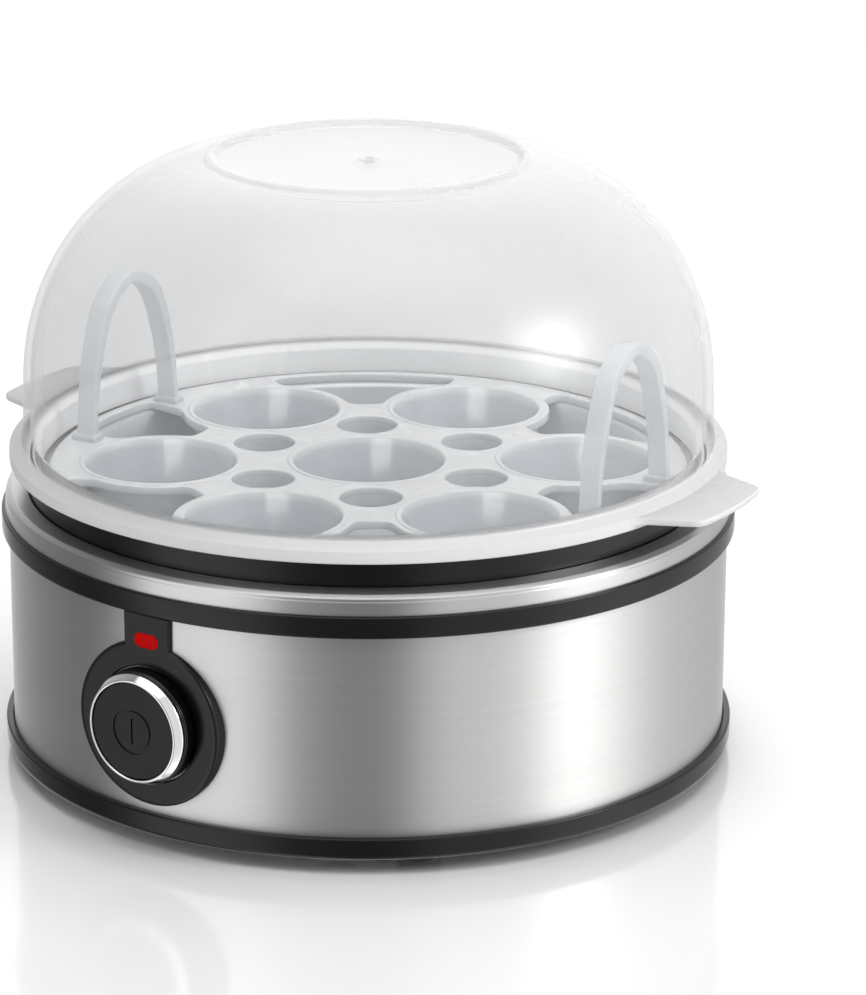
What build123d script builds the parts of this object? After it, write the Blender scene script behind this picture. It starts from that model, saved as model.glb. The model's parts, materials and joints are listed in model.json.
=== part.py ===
from build123d import *
import os
from math import acos, cos, degrees, radians, sin, sqrt

# Electric egg cooker for seven eggs. Millimetres, +Z up, origin on the axis of the round body,
# on the surface it stands on. The front, -Y, is where the push button is.

# Heights of the stacked body
base_bottom = 3.6
shell_bottom = 6.0
base_top = 8.9
skirt_bottom = 55.0
band_bottom = 58.6
shell_top = 61.8
band_top = 63.9
neck_root = 67.6
collar_top = 68.8
neck_top = 77.2
lid_top = 152.0

# Radii of the stacked body
shell_radius = 90.0
base_radius = 92.0
band_radius = 91.8
neck_radius = 85.0
neck_bore = 83.3
skirt_inner = 87.2
shoulder_radius = 88.4
shoulder_height = 65.4
shoulder_foot = 89.4
ledge_inner = 79.6
collar_wall = 90.9
collar_crease = 67.1
collar_bead = 89.0
collar_sheet = 0.7
sheet = 0.8
seat_gap = 0.1
fit = 0.05

# Distances from the axis between which holes are cut through the wall
cut_near = 80.0
cut_far = 100.0

# Egg tray
tray_top = 73.4
tray_thickness = 2.2
tray_radius = 79.6
tray_ring_width = 2.6
cup_circle = 52.0
cup_radius = 18.9
cup_foot_radius = 15.2
cup_rim_radius = 21.9
cup_depth = 12.0
cup_wall = 1.5
steam_hole_circle = 30.4
steam_hole_radius = 7.7
gap_inner_radius = 49.0
first_gap_angle = 6.0
gap_half_angle = 18.5
handle_gap_half_angle = 13.0
gap_corner = 2.4
tray_edge = 0.5
cup_rim_round = 0.9
cup_rim_drop = 0.8

# Tray handles
handle_circle = 71.0
handle_width = 4.7
handle_strip = 2.2
handle_spread = 19.5
handle_top = 113.3
handle_crown = 3.1
handle_knee = 82.0
handle_lean = 0.7
handle_bend = (14.4, 101.6)
handle_edge = 0.4
shoulder_rim = 1.2
shoulder_rise = 1.6

# Lid: the dome is a quarter of an ellipse turned around the axis
lid_wall = 1.8
dome_centre_radius = 35.0
dome_centre_height = 95.7
dome_width = 50.6
dome_rise = 55.6
lid_foot_radius = 86.1
lid_flange_radius = 89.5
lid_flange_top = 80.4
lid_lip_radius = 83.0
lid_lip_bottom = 74.2
lid_lip_wall = 1.4
lid_lip_top = 79.2
lid_foot_inside = 82.2
lid_edge = 0.4
lid_flange_edge = 0.8
lid_flare = 3.2
crown_bead_radius = 39.0
crown_bead_outside = 1.6
crown_bead_inside = 1.8
crown_floor = 150.2
vent_radius = 1.2
vent_rim = 0.5
tab_angle = 3.6
tab_reach = 102.8
tab_tip_half_angle = 8.6
tab_root_half_angle = 13.5
tab_thickness = 2.2
tab_tip_round = 4.5
tab_root_round = 8.0

# Heating plate and what is fixed under it
plate_sheet = 1.2
plate_rim_top = tray_top - tray_thickness
plate_rim_radius = 82.8
plate_floor_top = 56.4
plate_floor_radius = 68.0
well_radius = 27.0
well_depth = 0.8
well_slope = 2.0
plate_floor_bend = 6.0
plate_rim_bend = 2.4
seal_thickness = 0.8
plate_wall_radius = 75.5
element_circle = 48.0
element_radius = 3.2
element_opening = 50.0
element_rise = 1.2
pin_setback = 2.0
pin_radius = 1.6
pin_bottom = 42.0
pin_top = 52.0
casting_half_width = 6.5
casting_height = 4.6
stud_offset = 20.0
stud_radius = 1.6
stud_length = 7.6
thermostat_cap = 8.2
thermostat_body = 7.0
thermostat_cap_height = 4.0
thermostat_body_height = 8.0
thermostat_blade_offset = 4.0
blade_width = 5.0
blade_thickness = 0.8
blade_bottom = 36.0
strap_sheet = 1.0
strap_width = 9.0
strap_ring = 3.0
nut_radius = 3.2
nut_height = 2.2
fuse_offset = 33.0
fuse_radius = 2.4
fuse_length = 24.0
clip_sheet = 0.6
clip_width = 8.0
clip_wing = 2.5

# Switch, on the front
switch_height = 31.2
panel_radius = 21.0
panel_neck_width = 13.8
panel_face = 91.5
button_face = 97.0
button_head = 3.0
button_wall = 1.4
button_front_wall = 2.0
button_rib = 1.2
button_radius = 14.05
button_bore = 14.35
chrome_outer = 13.75
cap_radius = 12.0
mark_radius = 5.8
mark_line = 0.9
mark_bar = 6.6
mark_depth = 0.3
cap_set_back = 0.4
button_travel = 3.0
sleeve_wall = 1.0
sleeve_floor = 80.0
sleeve_floor_thickness = 1.5
stem_radius = 3.6
stem_back = 73.0
stem_barb = 0.7
stem_slit = 1.0
spring_wire = 0.5
spring_radius = 5.4
spring_turns = 5
plunger_width = 3.0
plunger_depth = 4.5
bracket_sheet = 1.2
bracket_front = 83.4
bracket_half_width = 23.0
bracket_height = 33.0
bracket_arm = 15.0
bracket_window = 8.0
panel_screw_offset = 18.2
panel_screw_radius = 1.1
panel_screw_head = 2.5
panel_screw_head_height = 1.8
panel_screw_end = 88.4
panel_boss_radius = 2.2
panel_edge = 0.5
switch_front = 66.8
switch_length = 16.8
switch_side = 14.0
switch_blade = 6.0
switch_blade_width = 4.8
switch_blade_offset = 4.5
switch_blade_drop = 2.0
lens_height = 52.0
lens_length = 7.2
lens_width = 3.8
lens_back = 85.5
lamp_back = 74.0
lamp_floor = 76.0
lamp_front = 84.0
lamp_radius = 2.1
lamp_socket_radius = 3.2

# Base
cover_radius = 87.0
cover_bottom = 3.2
cover_thickness = 2.0
cover_gap = 0.3
cover_seat_inner = 84.6
cover_seat_top = 7.2
base_wall_top = 14.0
foot_circle = 80.8
foot_angle = 43.6
foot_radius = 5.6
foot_stem = 2.5
post_circle = 79.0
post_angle = 60.0
post_radius = 3.6
boss_radius = 5.0
boss_height = 3.0
screw_radius = 1.5
screw_head = 3.4
screw_head_height = 1.8
screw_slot = (4.4, 0.9)
screw_length = 16.0
rib_height = 3.0
rib_thickness = 1.6
inner_rib = 24.0
outer_rib = 62.0
outer_vent_circle = 71.0
outer_vent_length = 11.0
inner_vent_circle = 43.0
inner_vent_length = 22.0
vent_width = 2.6

# Cord entry, at the back
gland_height = 14.0
gland_bore = 3.3
gland_block = 12.0
gland_back = 82.0
gland_inner_flange = (85.0, 87.0)
gland_outer_flange = (92.1, 93.6)
gland_nose_end = 95.8
gland_nose_radius = 5.6
arch_half_width = 10.0
arch_top = 24.0
arch_corner = 4.0
block_front = 64.0
block_depth = 12.0
block_width = 26.0
block_height = 12.0
block_slot = 1.6
block_bore_height = 6.0
block_screw_height = 9.0
wire_radius = 1.1
lamp_wire_radius = 0.6
wire_low = 17.0


def at(radius, angle, height=0.0):
    """The point at a radius, an angle from +X and a height."""
    return (radius * cos(radians(angle)), radius * sin(radians(angle)), height)


def around(count, first=0.0):
    """Evenly spaced angles, from the first."""
    return [first + 360 / count * step for step in range(count)]


def mirrored_angles(angle):
    """The same angle left and right of the front, and left and right of the back."""
    return [270 - angle, 270 + angle, 90 - angle, 90 + angle]


def section(*points, rounds=()):
    """A closed outline of (radius, height) points, each (corner, radius) in rounds filleted."""
    face = make_face(Polyline(*points, close=True)).face()
    for corner, radius in rounds:
        nearest = min(face.vertices(), key=lambda v: (v.X - corner[0]) ** 2 + (v.Y - corner[1]) ** 2)
        face = face.fillet_2d(radius, [nearest])
    return face


def turned(face):
    """The solid that an outline of radius and height sweeps around the vertical axis."""
    return revolve(Plane.XZ * face, Axis.Z)


def disc(radius, bottom, top):
    """An upright cylinder on the axis."""
    return Pos(0, 0, bottom) * extrude(Circle(radius), top - bottom)


def tube(outer, inner, bottom, top):
    """An upright tube on the axis."""
    return disc(outer, bottom, top) - disc(inner, bottom - 1, top + 1)


def facing_front(sketch, near, far, height):
    """A sketch seen from the front, extruded from one distance behind the front to another."""
    plane = Plane(origin=(0, -near, height), x_dir=(1, 0, 0), z_dir=(0, -1, 0))
    return extrude(plane * sketch, far - near)


def facing_back(sketch, near, far, height):
    """A sketch seen from the back, extruded outwards between two distances from the axis."""
    plane = Plane(origin=(0, near, height), x_dir=(-1, 0, 0), z_dir=(0, 1, 0))
    return extrude(plane * sketch, far - near)


def save(name, shape):
    """Write one sub-part, or a group of like ones, to its own file."""
    export_step(shape, f"parts/{name}.step")


def ellipse_arc(inset, from_radius):
    """The dome's curve, moved inwards, from the top of the wall up to a radius near the axis."""
    width = dome_width - inset
    rise = dome_rise - inset
    end = degrees(acos((from_radius - dome_centre_radius) / width))
    centre = (dome_centre_radius, dome_centre_height)
    return EllipticalCenterArc(centre, width, rise, start_angle=0, arc_size=end)


def lid_shell():
    """The dome with its crown bead and vent, its flange and the lip that enters the neck."""
    lip_inner = lid_lip_radius - lid_lip_wall
    outer_dome = ellipse_arc(0, crown_bead_radius + crown_bead_outside)
    inner_dome = ellipse_arc(lid_wall, crown_bead_radius)
    bead_outer = outer_dome @ 1
    bead_top = (crown_bead_radius, lid_top)
    bead_inner = (crown_bead_radius - crown_bead_inside, crown_floor)
    crown = ThreePointArc(bead_outer, (crown_bead_radius + 1.0, lid_top - 0.35), bead_top)
    crown_back = ThreePointArc(bead_top, (crown_bead_radius - 1.2, lid_top - 0.5), bead_inner)
    floor_bottom = crown_floor - lid_wall
    top = Polyline(
        bead_inner,
        (vent_radius + 3 * vent_rim, crown_floor),
        (vent_radius + 2 * vent_rim, crown_floor + vent_rim),
        (vent_radius, crown_floor + vent_rim),
        (vent_radius, floor_bottom),
        (crown_bead_radius - crown_bead_inside - lid_flange_edge, floor_bottom),
        inner_dome @ 1,
    )
    inner_foot = lid_foot_radius - lid_wall
    foot = Polyline(
        inner_dome @ 0,
        (inner_foot, lid_foot_inside),
        (lip_inner, lid_lip_top),
        (lip_inner, lid_lip_bottom + lid_edge),
        (lip_inner + lid_edge, lid_lip_bottom),
        (lid_lip_radius - lid_edge, lid_lip_bottom),
        (lid_lip_radius, lid_lip_bottom + lid_edge),
        (lid_lip_radius, neck_top),
        (lid_flange_radius - lid_edge, neck_top),
        (lid_flange_radius, neck_top + lid_edge),
        (lid_flange_radius, lid_flange_top - lid_flange_edge),
    )
    edge_top = (lid_flange_radius - lid_flange_edge, lid_flange_top)
    bulge = (1 - sqrt(0.5)) * lid_flange_edge
    edge_middle = (lid_flange_radius - bulge, lid_flange_top - bulge)
    edge = ThreePointArc(foot @ 1, edge_middle, edge_top)
    flare_end = (lid_foot_radius, lid_flange_top + lid_flare)
    flare = ThreePointArc(edge_top, (lid_foot_radius + 0.75, lid_flange_top + 1.0), flare_end)
    wall = Line(flare_end, outer_dome @ 0)
    outline = outer_dome + crown + crown_back + top + inner_dome + foot + edge + flare + wall
    return turned(make_face(outline).face())


def lid_tab():
    """One lifting tab in plan: a wide tongue that flares into the flange."""
    tip_left = at(tab_reach, tab_tip_half_angle)
    tip_right = at(tab_reach, -tab_tip_half_angle)
    root_left = at(lid_flange_radius - 1, tab_root_half_angle)
    root_right = at(lid_flange_radius - 1, -tab_root_half_angle)
    sides = Polyline(tip_right, root_right, at(lid_flange_radius - 5, 0), root_left, tip_left)
    tongue = make_face(sides + ThreePointArc(tip_left, at(tab_reach, 0), tip_right)).face()
    tips = tongue.vertices().sort_by(Axis.X)[-2:]
    tongue = tongue.fillet_2d(tab_tip_round, tips)
    plan = (Circle(lid_flange_radius) + tongue).face()
    corners = [v for v in plan.vertices() if v.X < lid_flange_radius and abs(v.Y) > 15]
    plan = plan.fillet_2d(tab_root_round, corners)
    hidden = Circle(lid_flange_radius - tab_thickness)
    tab = extrude((plan - hidden).face(), tab_thickness)
    rims = tab.faces().sort_by(Axis.Z)[-1].outer_wire().edges()
    rims += tab.faces().sort_by(Axis.Z)[0].outer_wire().edges()
    return chamfer(rims, lid_edge)


def lid():
    """The clear domed lid, with two opposite lifting tabs on its flange."""
    body = lid_shell()
    for angle in around(2, tab_angle):
        body += Pos(0, 0, neck_top) * Rot(0, 0, angle) * lid_tab()
    return body


def tray_gap(half_angle):
    """One opening between two neighbouring cups and the outer ring, in plan, on the +X side."""
    ring_inner = tray_radius - tray_ring_width
    far = 2 * tray_radius
    wedge = make_face(Polyline((0, 0), at(far, half_angle), at(far, -half_angle), close=True))
    gap = wedge.face() & (Circle(ring_inner) - Circle(gap_inner_radius)).face()
    for side in (30, -30):
        gap -= Pos(*at(cup_circle, side)) * Circle(cup_rim_radius)
    gap = gap.face()
    return gap.fillet_2d(gap_corner, gap.vertices())


def cup_skirt():
    """The funnel that hangs below a cup's hole."""
    foot = tray_top - cup_depth
    under = tray_top - tray_thickness / 2
    return turned(
        section(
            (cup_radius + cup_wall, under),
            (cup_radius - 0.4, under),
            (cup_foot_radius, foot),
            (cup_foot_radius + cup_wall, foot),
            rounds=[((cup_foot_radius + cup_wall, foot), 0.7)],
        )
    )


def cup_hollow():
    """The space inside a cup, with the rounded edge that the egg rests on."""
    rim = cup_radius + cup_rim_round
    throat = (cup_radius - 0.3, tray_top - cup_rim_drop)
    return turned(
        section(
            (0, tray_top - cup_depth - 1),
            (cup_foot_radius - 0.3, tray_top - cup_depth - 1),
            throat,
            (rim, tray_top),
            (rim, tray_top + 1),
            (0, tray_top + 1),
            rounds=[(throat, cup_rim_drop)],
        )
    )


def egg_tray():
    """The seven-hole tray: a ring, seven funnelled cups, steam holes and six outer openings."""
    bottom = tray_top - tray_thickness
    tray = disc(tray_radius, bottom, tray_top)
    tray = chamfer(tray.edges().filter_by(GeomType.CIRCLE).sort_by(Axis.Z)[-1], tray_edge)
    for angle in around(6, first_gap_angle):
        with_handle = angle % 180 == first_gap_angle
        half = handle_gap_half_angle if with_handle else gap_half_angle
        opening = Rot(0, 0, angle) * tray_gap(half)
        tray -= Pos(0, 0, bottom - 1) * extrude(opening, tray_thickness + 2)
    cups = [(0, 0, 0)] + [at(cup_circle, angle) for angle in around(6, first_gap_angle + 30)]
    for cup in cups:
        tray += Pos(*cup) * cup_skirt()
    for cup in cups:
        tray -= Pos(*cup) * cup_hollow()
    for angle in around(6, first_gap_angle):
        hole = Cone(steam_hole_radius - 1, steam_hole_radius, tray_thickness)
        tray -= Pos(*at(steam_hole_circle, angle, tray_top - tray_thickness / 2)) * hole
    for angle in around(2, first_gap_angle):
        for side in (1, -1):
            tray -= Rot(0, 0, angle) * Pos(0, side * handle_spread, 0) * handle_slot()
    return tray


def handle_slot():
    """The slot in the tray for one leg of a handle."""
    slot = Rectangle(handle_width + 2 * seat_gap, handle_strip + 2 * seat_gap)
    return Pos(handle_circle, 0, tray_top - tray_thickness - 1) * extrude(slot, tray_thickness + 2)


def handle_arch():
    """A handle's strip seen from the centre: two legs that lean in to a pointed arch."""
    half = handle_strip / 2
    foot = tray_top - tray_thickness + seat_gap
    heel = tray_top + shoulder_rise
    outer_heel = (handle_spread + half, heel)
    outer_knee = (handle_spread + half - handle_lean, handle_knee)
    outer_top = (0, handle_top)
    inner_heel = (handle_spread - half, heel)
    inner_knee = (handle_spread - half - handle_lean, handle_knee)
    inner_bend = (handle_bend[0] - handle_strip, handle_bend[1] - handle_strip / 2)
    inner_top = (0, handle_top - handle_crown)
    leg = Polyline((handle_spread - half, foot), (handle_spread + half, foot), outer_heel, outer_knee)
    outside = ThreePointArc(outer_knee, handle_bend, outer_top)
    middle = Line(outer_top, inner_top)
    inside = ThreePointArc(inner_top, inner_bend, inner_knee)
    back = Polyline(inner_knee, inner_heel, (handle_spread - half, foot))
    half_arch = make_face(leg + outside + middle + inside + back).face()
    return half_arch + mirror(half_arch, Plane.YZ)


def tray_handle(angle):
    """One upright handle, with a shoulder on each leg that stands on the tray."""
    across = Plane(origin=(handle_circle, 0, 0), x_dir=(0, 1, 0), z_dir=(1, 0, 0))
    handle = extrude(across * handle_arch(), handle_width / 2, both=True)
    edges = [e for e in handle.edges() if abs(abs(e.center().X - handle_circle) - handle_width / 2) < fit]
    handle = chamfer(edges, handle_edge)
    for side in (1, -1):
        shoulder = Box(handle_width + 2 * shoulder_rim, handle_strip + 2 * shoulder_rim, shoulder_rise)
        shoulder = chamfer(shoulder.faces().sort_by(Axis.Z)[-1].edges(), shoulder_rim / 2)
        handle += Pos(handle_circle, side * handle_spread, tray_top + shoulder_rise / 2) * shoulder
    return Rot(0, 0, angle) * handle


def upper_housing():
    """The black upper moulding: the neck, the ledge for the plate, the band and four posts."""
    ledge_top = plate_rim_top - plate_sheet - seal_thickness
    groove_outer = shell_radius + seat_gap
    groove_inner = shell_radius - sheet - seat_gap
    groove_top = shell_top + 2 * seat_gap
    housing = turned(
        section(
            (neck_radius, neck_top),
            (neck_radius, neck_root),
            (shoulder_radius, shoulder_height),
            (shoulder_foot, band_top),
            (band_radius, band_top),
            (band_radius, band_bottom),
            (groove_outer, band_bottom),
            (groove_outer, groove_top),
            (groove_inner, groove_top),
            (groove_inner, skirt_bottom),
            (skirt_inner, skirt_bottom),
            (skirt_inner, shell_top - 0.4),
            (neck_bore - 0.3, ledge_top - 3.0),
            (ledge_inner, ledge_top - 2.2),
            (ledge_inner, ledge_top),
            (neck_bore, ledge_top),
            (neck_bore, neck_top),
            rounds=[
                ((neck_radius, neck_top), 0.5),
                ((band_radius, band_top), 0.6),
                ((band_radius, band_bottom), 0.7),
            ],
        )
    )
    post_bottom = cover_bottom + cover_thickness + boss_height
    post_height = ledge_top - 1.6 - post_bottom
    for angle in mirrored_angles(90 - post_angle):
        post = extrude(Circle(post_radius), post_height)
        post -= extrude(Circle(screw_radius + fit), screw_length + 2)
        housing += Pos(*at(post_circle, angle, post_bottom)) * post
    return housing


def steel_collar():
    """The pressed steel trim on the shoulder: an upright wall, a crease, a bead and a flat top."""
    inner = neck_radius + seat_gap
    wall_inner = collar_wall - collar_sheet
    crease = (collar_wall - collar_sheet, collar_crease + 0.4)
    wall = Polyline(
        (wall_inner, band_top),
        (collar_wall, band_top),
        (collar_wall - 0.2, collar_crease),
        crease,
    )
    bead_middle = (collar_bead + 0.9, collar_top - 0.4)
    bead = ThreePointArc(crease, bead_middle, (collar_bead, collar_top - 0.05))
    top = Line((collar_bead, collar_top - 0.05), (inner + collar_sheet, collar_top))
    roll = ThreePointArc(top @ 1, (inner + 0.2, collar_top - 0.2), (inner, collar_top - collar_sheet))
    under = Polyline(
        (inner, collar_top - collar_sheet),
        (collar_bead - 0.3, collar_top - collar_sheet - 0.1),
        (wall_inner - 0.7, collar_crease),
        (wall_inner - 0.1, collar_crease - 0.6),
        (wall_inner, band_top),
    )
    return turned(make_face(wall + bead + top + roll + under).face())


def outer_shell():
    """The brushed steel wall, open for the button, the indicator and the cord entry."""
    shell = tube(shell_radius, shell_radius - sheet, shell_bottom, shell_top)
    sleeve_hole = Circle(button_bore + sleeve_wall + 0.2)
    shell -= facing_front(sleeve_hole, cut_near, cut_far, switch_height)
    lens_hole = SlotOverall(lens_length + 1.2, lens_width + 1.2)
    shell -= facing_front(lens_hole, cut_near, cut_far, lens_height)
    for side in (1, -1):
        boss_hole = Pos(side * panel_screw_offset, 0) * Circle(panel_boss_radius + 0.3)
        shell -= facing_front(boss_hole, cut_near, cut_far, switch_height)
    notch = Rectangle(2 * arch_half_width + 2 * seat_gap, arch_top + 2 * seat_gap)
    return shell - facing_back(Pos(0, arch_top / 2) * notch, cut_near, cut_far, 0)


def panel_outline():
    """The switch panel seen from the front: a disc with a neck up to the band."""
    neck_length = band_bottom - switch_height
    neck = Pos(0, neck_length / 2) * Rectangle(panel_neck_width, neck_length)
    return (Circle(panel_radius) + neck).face()


def switch_panel():
    """The black panel on the shell, with the sleeve that guides the button."""
    slab = facing_front(panel_outline(), cut_near, cut_far, switch_height)
    skin = tube(panel_face, shell_radius, 0, neck_top)
    panel = (slab & skin).solid()
    front = [e for e in panel.edges() if all(abs(hypot_xy(v) - panel_face) < 0.01 for v in e.vertices())]
    outer = [e for e in front if e.center().Z < band_bottom - 0.2]
    panel = chamfer(outer, panel_edge)
    bore = Circle(button_bore)
    sleeve_back = sleeve_floor - sleeve_floor_thickness
    sleeve = Circle(button_bore + sleeve_wall)
    panel += facing_front(sleeve, sleeve_back, panel_face - panel_edge, switch_height)
    boss_end = panel_screw_end + 2 * seat_gap
    for side in (1, -1):
        centre = Pos(side * panel_screw_offset, 0)
        boss = centre * Circle(panel_boss_radius)
        hole = centre * Circle(panel_screw_radius + fit)
        panel += facing_front(boss, bracket_front + bracket_sheet, boss_end + 2 * seat_gap, switch_height)
        panel -= facing_front(hole, bracket_front, boss_end, switch_height)
    panel -= facing_front(bore, sleeve_floor, cut_far, switch_height)
    panel -= facing_front(Circle(stem_radius + seat_gap), sleeve_back - 1, shell_radius, switch_height)
    return panel - facing_front(lens_outline(fit), cut_near, cut_far, lens_height)


def panel_screws():
    """The two screws that draw the panel and the bracket together through the shell."""
    head_back = bracket_front - panel_screw_head_height
    screw = facing_front(Circle(panel_screw_head), head_back, bracket_front, switch_height)
    shank = Circle(panel_screw_radius)
    screw += facing_front(shank, bracket_front - panel_screw_radius, panel_screw_end, switch_height)
    for turn in (0, 90):
        cross = Rot(0, 0, turn) * Rectangle(3.0, 0.7)
        screw -= facing_front(cross, head_back - 1, head_back + panel_screw_head_height / 2, switch_height)
    return Compound(children=[Pos(side * panel_screw_offset, 0) * screw for side in (1, -1)])


def hypot_xy(vertex):
    """A vertex's distance from the axis."""
    return sqrt(vertex.X**2 + vertex.Y**2)


def lens_outline(margin=0.0):
    """The indicator's rounded window, seen from the front."""
    return SlotOverall(lens_length + 2 * margin, lens_width + 2 * margin)


def indicator_lens():
    """The red window over the lamp, a little proud of the panel."""
    lens = facing_front(lens_outline(), lens_back, panel_face + panel_edge, lens_height)
    front = lens.faces().sort_by(Axis.Y)[0]
    return chamfer(front.edges(), 0.8 * panel_edge)


def lamp_socket():
    """The rubber socket that holds the neon bulb behind the window."""
    socket = facing_front(Circle(lamp_socket_radius), lamp_back, lens_back, lens_height)
    return socket - facing_front(Circle(lamp_radius), lamp_floor, lens_back + 1, lens_height)


def indicator_lamp():
    """The neon bulb, a small glass tube with a rounded end."""
    bulb = facing_front(Circle(lamp_radius), lamp_floor, lamp_front, lens_height)
    return fillet(bulb.faces().sort_by(Axis.Y)[0].edges(), 0.6 * lamp_radius)


def button_skirt():
    """The black hollow body of the push button, with the stem that drives the switch."""
    front = button_face - button_head
    back = sleeve_floor + button_travel + 1.0
    sleeve_back = sleeve_floor - sleeve_floor_thickness
    skirt = facing_front(Circle(button_radius), back, front, switch_height)
    hollow = Circle(button_radius - button_wall)
    skirt -= facing_front(hollow, back - 1, front - button_front_wall, switch_height)
    stem = facing_front(Circle(stem_radius), stem_back, front - 1.0, switch_height)
    barb = Circle(stem_radius + stem_barb)
    stem += facing_front(barb, sleeve_back - 2 * stem_barb, sleeve_back - 2 * seat_gap, switch_height)
    slit = Rectangle(3 * stem_radius, stem_slit)
    stem -= facing_front(slit, stem_back - 1, sleeve_back + button_travel, switch_height)
    for turn in (0, 90):
        cross = Rot(0, 0, turn) * Rectangle(2 * button_radius - 2, button_rib)
        stem += facing_front(cross, front - button_head, front - 1.0, switch_height)
    socket = Rectangle(plunger_width + 2 * seat_gap, plunger_width + 2 * seat_gap)
    return skirt + stem - facing_front(socket, stem_back - 1, stem_back + 6, switch_height)


def button_chrome_ring():
    """The bright rounded ring around the cap."""
    back = button_face - button_head
    wall = chrome_outer - cap_radius - fit
    ring = facing_front(Circle(chrome_outer) - Circle(cap_radius + fit), back, button_face, switch_height)
    rims = ring.edges().filter_by(GeomType.CIRCLE).group_by(Axis.Y)[0]
    return fillet(rims, 0.45 * wall)


def button_cap():
    """The black cap, slightly domed, with a ring and a bar sunk into it."""
    back = button_face - button_head
    face = button_face - cap_set_back
    cap = facing_front(Circle(cap_radius), back, face, switch_height)
    cap = fillet(cap.edges().filter_by(GeomType.CIRCLE).sort_by(Axis.Y)[0], 0.5)
    mark = Circle(mark_radius) - Circle(mark_radius - mark_line)
    mark += SlotOverall(mark_bar, mark_line, rotation=90)
    return cap - facing_front(mark, face - mark_depth, button_face, switch_height)


def button_spring():
    """The coil spring around the stem, from the sleeve's floor to the ribs of the button."""
    room = button_face - 2 * button_head - sleeve_floor
    height = room - 2 * spring_wire - 2 * fit
    path = Helix(pitch=height / spring_turns, height=height, radius=spring_radius)
    coil = sweep(Plane(path @ 0, z_dir=path % 0) * Circle(spring_wire), path=path, is_frenet=True)
    seat = Plane(origin=(0, -sleeve_floor, switch_height), z_dir=(0, -1, 0))
    return seat.location * Pos(0, 0, spring_wire + fit) * coil


def switch_bracket():
    """The steel bracket: a plate around the sleeve, two arms back and a bridge for the switch."""
    far = bracket_front + bracket_sheet
    plate = RectangleRounded(2 * bracket_half_width, bracket_height, 3)
    plate -= Circle(button_bore + sleeve_wall)
    for side in (1, -1):
        plate -= Pos(side * panel_screw_offset, 0) * Circle(panel_screw_radius + 2 * seat_gap)
    bracket = facing_front(plate, bracket_front, far, switch_height)
    for side in (1, -1):
        arm = Pos(side * (bracket_half_width - bracket_sheet / 2), 0) * Rectangle(bracket_sheet, bracket_arm)
        bracket += facing_front(arm, switch_front, far, switch_height)
    bridge = Rectangle(2 * bracket_half_width, bracket_arm) - Rectangle(bracket_window, bracket_window)
    return bracket + facing_front(bridge, switch_front, switch_front + bracket_sheet, switch_height)


def blade(width, thickness, length):
    """A flat terminal blade in plan, extruded along its length."""
    return extrude(Rectangle(width, thickness), length)


def switch_body():
    """The push-push switch, with a bore for its plunger and two terminal blades."""
    back = switch_front - switch_length
    body = facing_front(RectangleRounded(switch_side, switch_side, 1), back, switch_front, switch_height)
    bore = Rectangle(plunger_width + 2 * seat_gap, plunger_width + 2 * seat_gap)
    bore_depth = plunger_depth + button_travel + 1.0
    body -= facing_front(bore, switch_front - bore_depth, switch_front + 1, switch_height)
    for side in (1, -1):
        terminal = Rectangle(blade_thickness, switch_blade_width)
        terminal = Pos(side * switch_blade_offset, -switch_blade_drop) * terminal
        body += facing_front(terminal, back - switch_blade, back, switch_height)
    return body


def switch_plunger():
    """The square rod that carries the button's push into the switch."""
    rod = Rectangle(plunger_width, plunger_width)
    return facing_front(rod, switch_front - plunger_depth, stem_back + 6 - seat_gap, switch_height)


def base_ring():
    """The black ring under the shell, with the arch around the cord entry."""
    ring = turned(
        section(
            (base_radius, base_bottom),
            (base_radius, base_top),
            (shell_radius + seat_gap, base_top),
            (shell_radius + seat_gap, shell_bottom),
            (shell_radius - sheet - seat_gap, shell_bottom),
            (shell_radius - sheet - seat_gap, base_wall_top),
            (cover_radius + cover_gap, base_wall_top),
            (cover_radius + cover_gap, cover_seat_top),
            (cover_seat_inner, cover_seat_top),
            (cover_seat_inner, cover_bottom + cover_thickness),
            (cover_radius + cover_gap, cover_bottom + cover_thickness),
            (cover_radius + cover_gap, base_bottom),
            rounds=[((base_radius, base_bottom), 1.1), ((base_radius, base_top), 0.5)],
        )
    )
    outline = Pos(0, arch_top / 2) * Rectangle(2 * arch_half_width, arch_top)
    outline = outline.face()
    outline = outline.fillet_2d(arch_corner, outline.vertices().sort_by(Axis.Y)[-2:])
    arch = facing_back(outline, cut_near, cut_far, 0)
    arch = arch & tube(base_radius, cover_radius + cover_gap, base_bottom, arch_top + 1)
    window = RectangleRounded(gland_block, gland_block, 1.5)
    return (ring + arch) - facing_back(window, cut_near, cut_far, gland_height)


def cord_gland():
    """The bushing for the cord, locked in the arch by its flanges."""
    side = gland_block - 2 * seat_gap
    outer_back, outer_front = gland_outer_flange
    body = facing_back(RectangleRounded(side, side, 1.4), gland_back, outer_back + seat_gap, gland_height)
    body += facing_back(RectangleRounded(side + 4.2, side + 4.2, 3), outer_back, outer_front, gland_height)
    body += facing_back(RectangleRounded(side + 1.2, side + 1.2, 2), *gland_inner_flange, gland_height)
    nose = facing_back(Circle(gland_nose_radius), outer_front, gland_nose_end, gland_height)
    nose = chamfer(nose.faces().sort_by(Axis.Y)[-1].edges(), 0.6)
    return body + nose - facing_back(Circle(gland_bore), cut_near, cut_far, gland_height)


def radial_slot(radius, angle, length):
    """One vent slot through the cover, pointing away from the axis."""
    slot = Pos(*at(radius, angle)) * Rot(0, 0, angle) * SlotOverall(length, vent_width)
    return Pos(0, 0, cover_bottom - 1) * extrude(slot, cover_thickness + 2)


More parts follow.
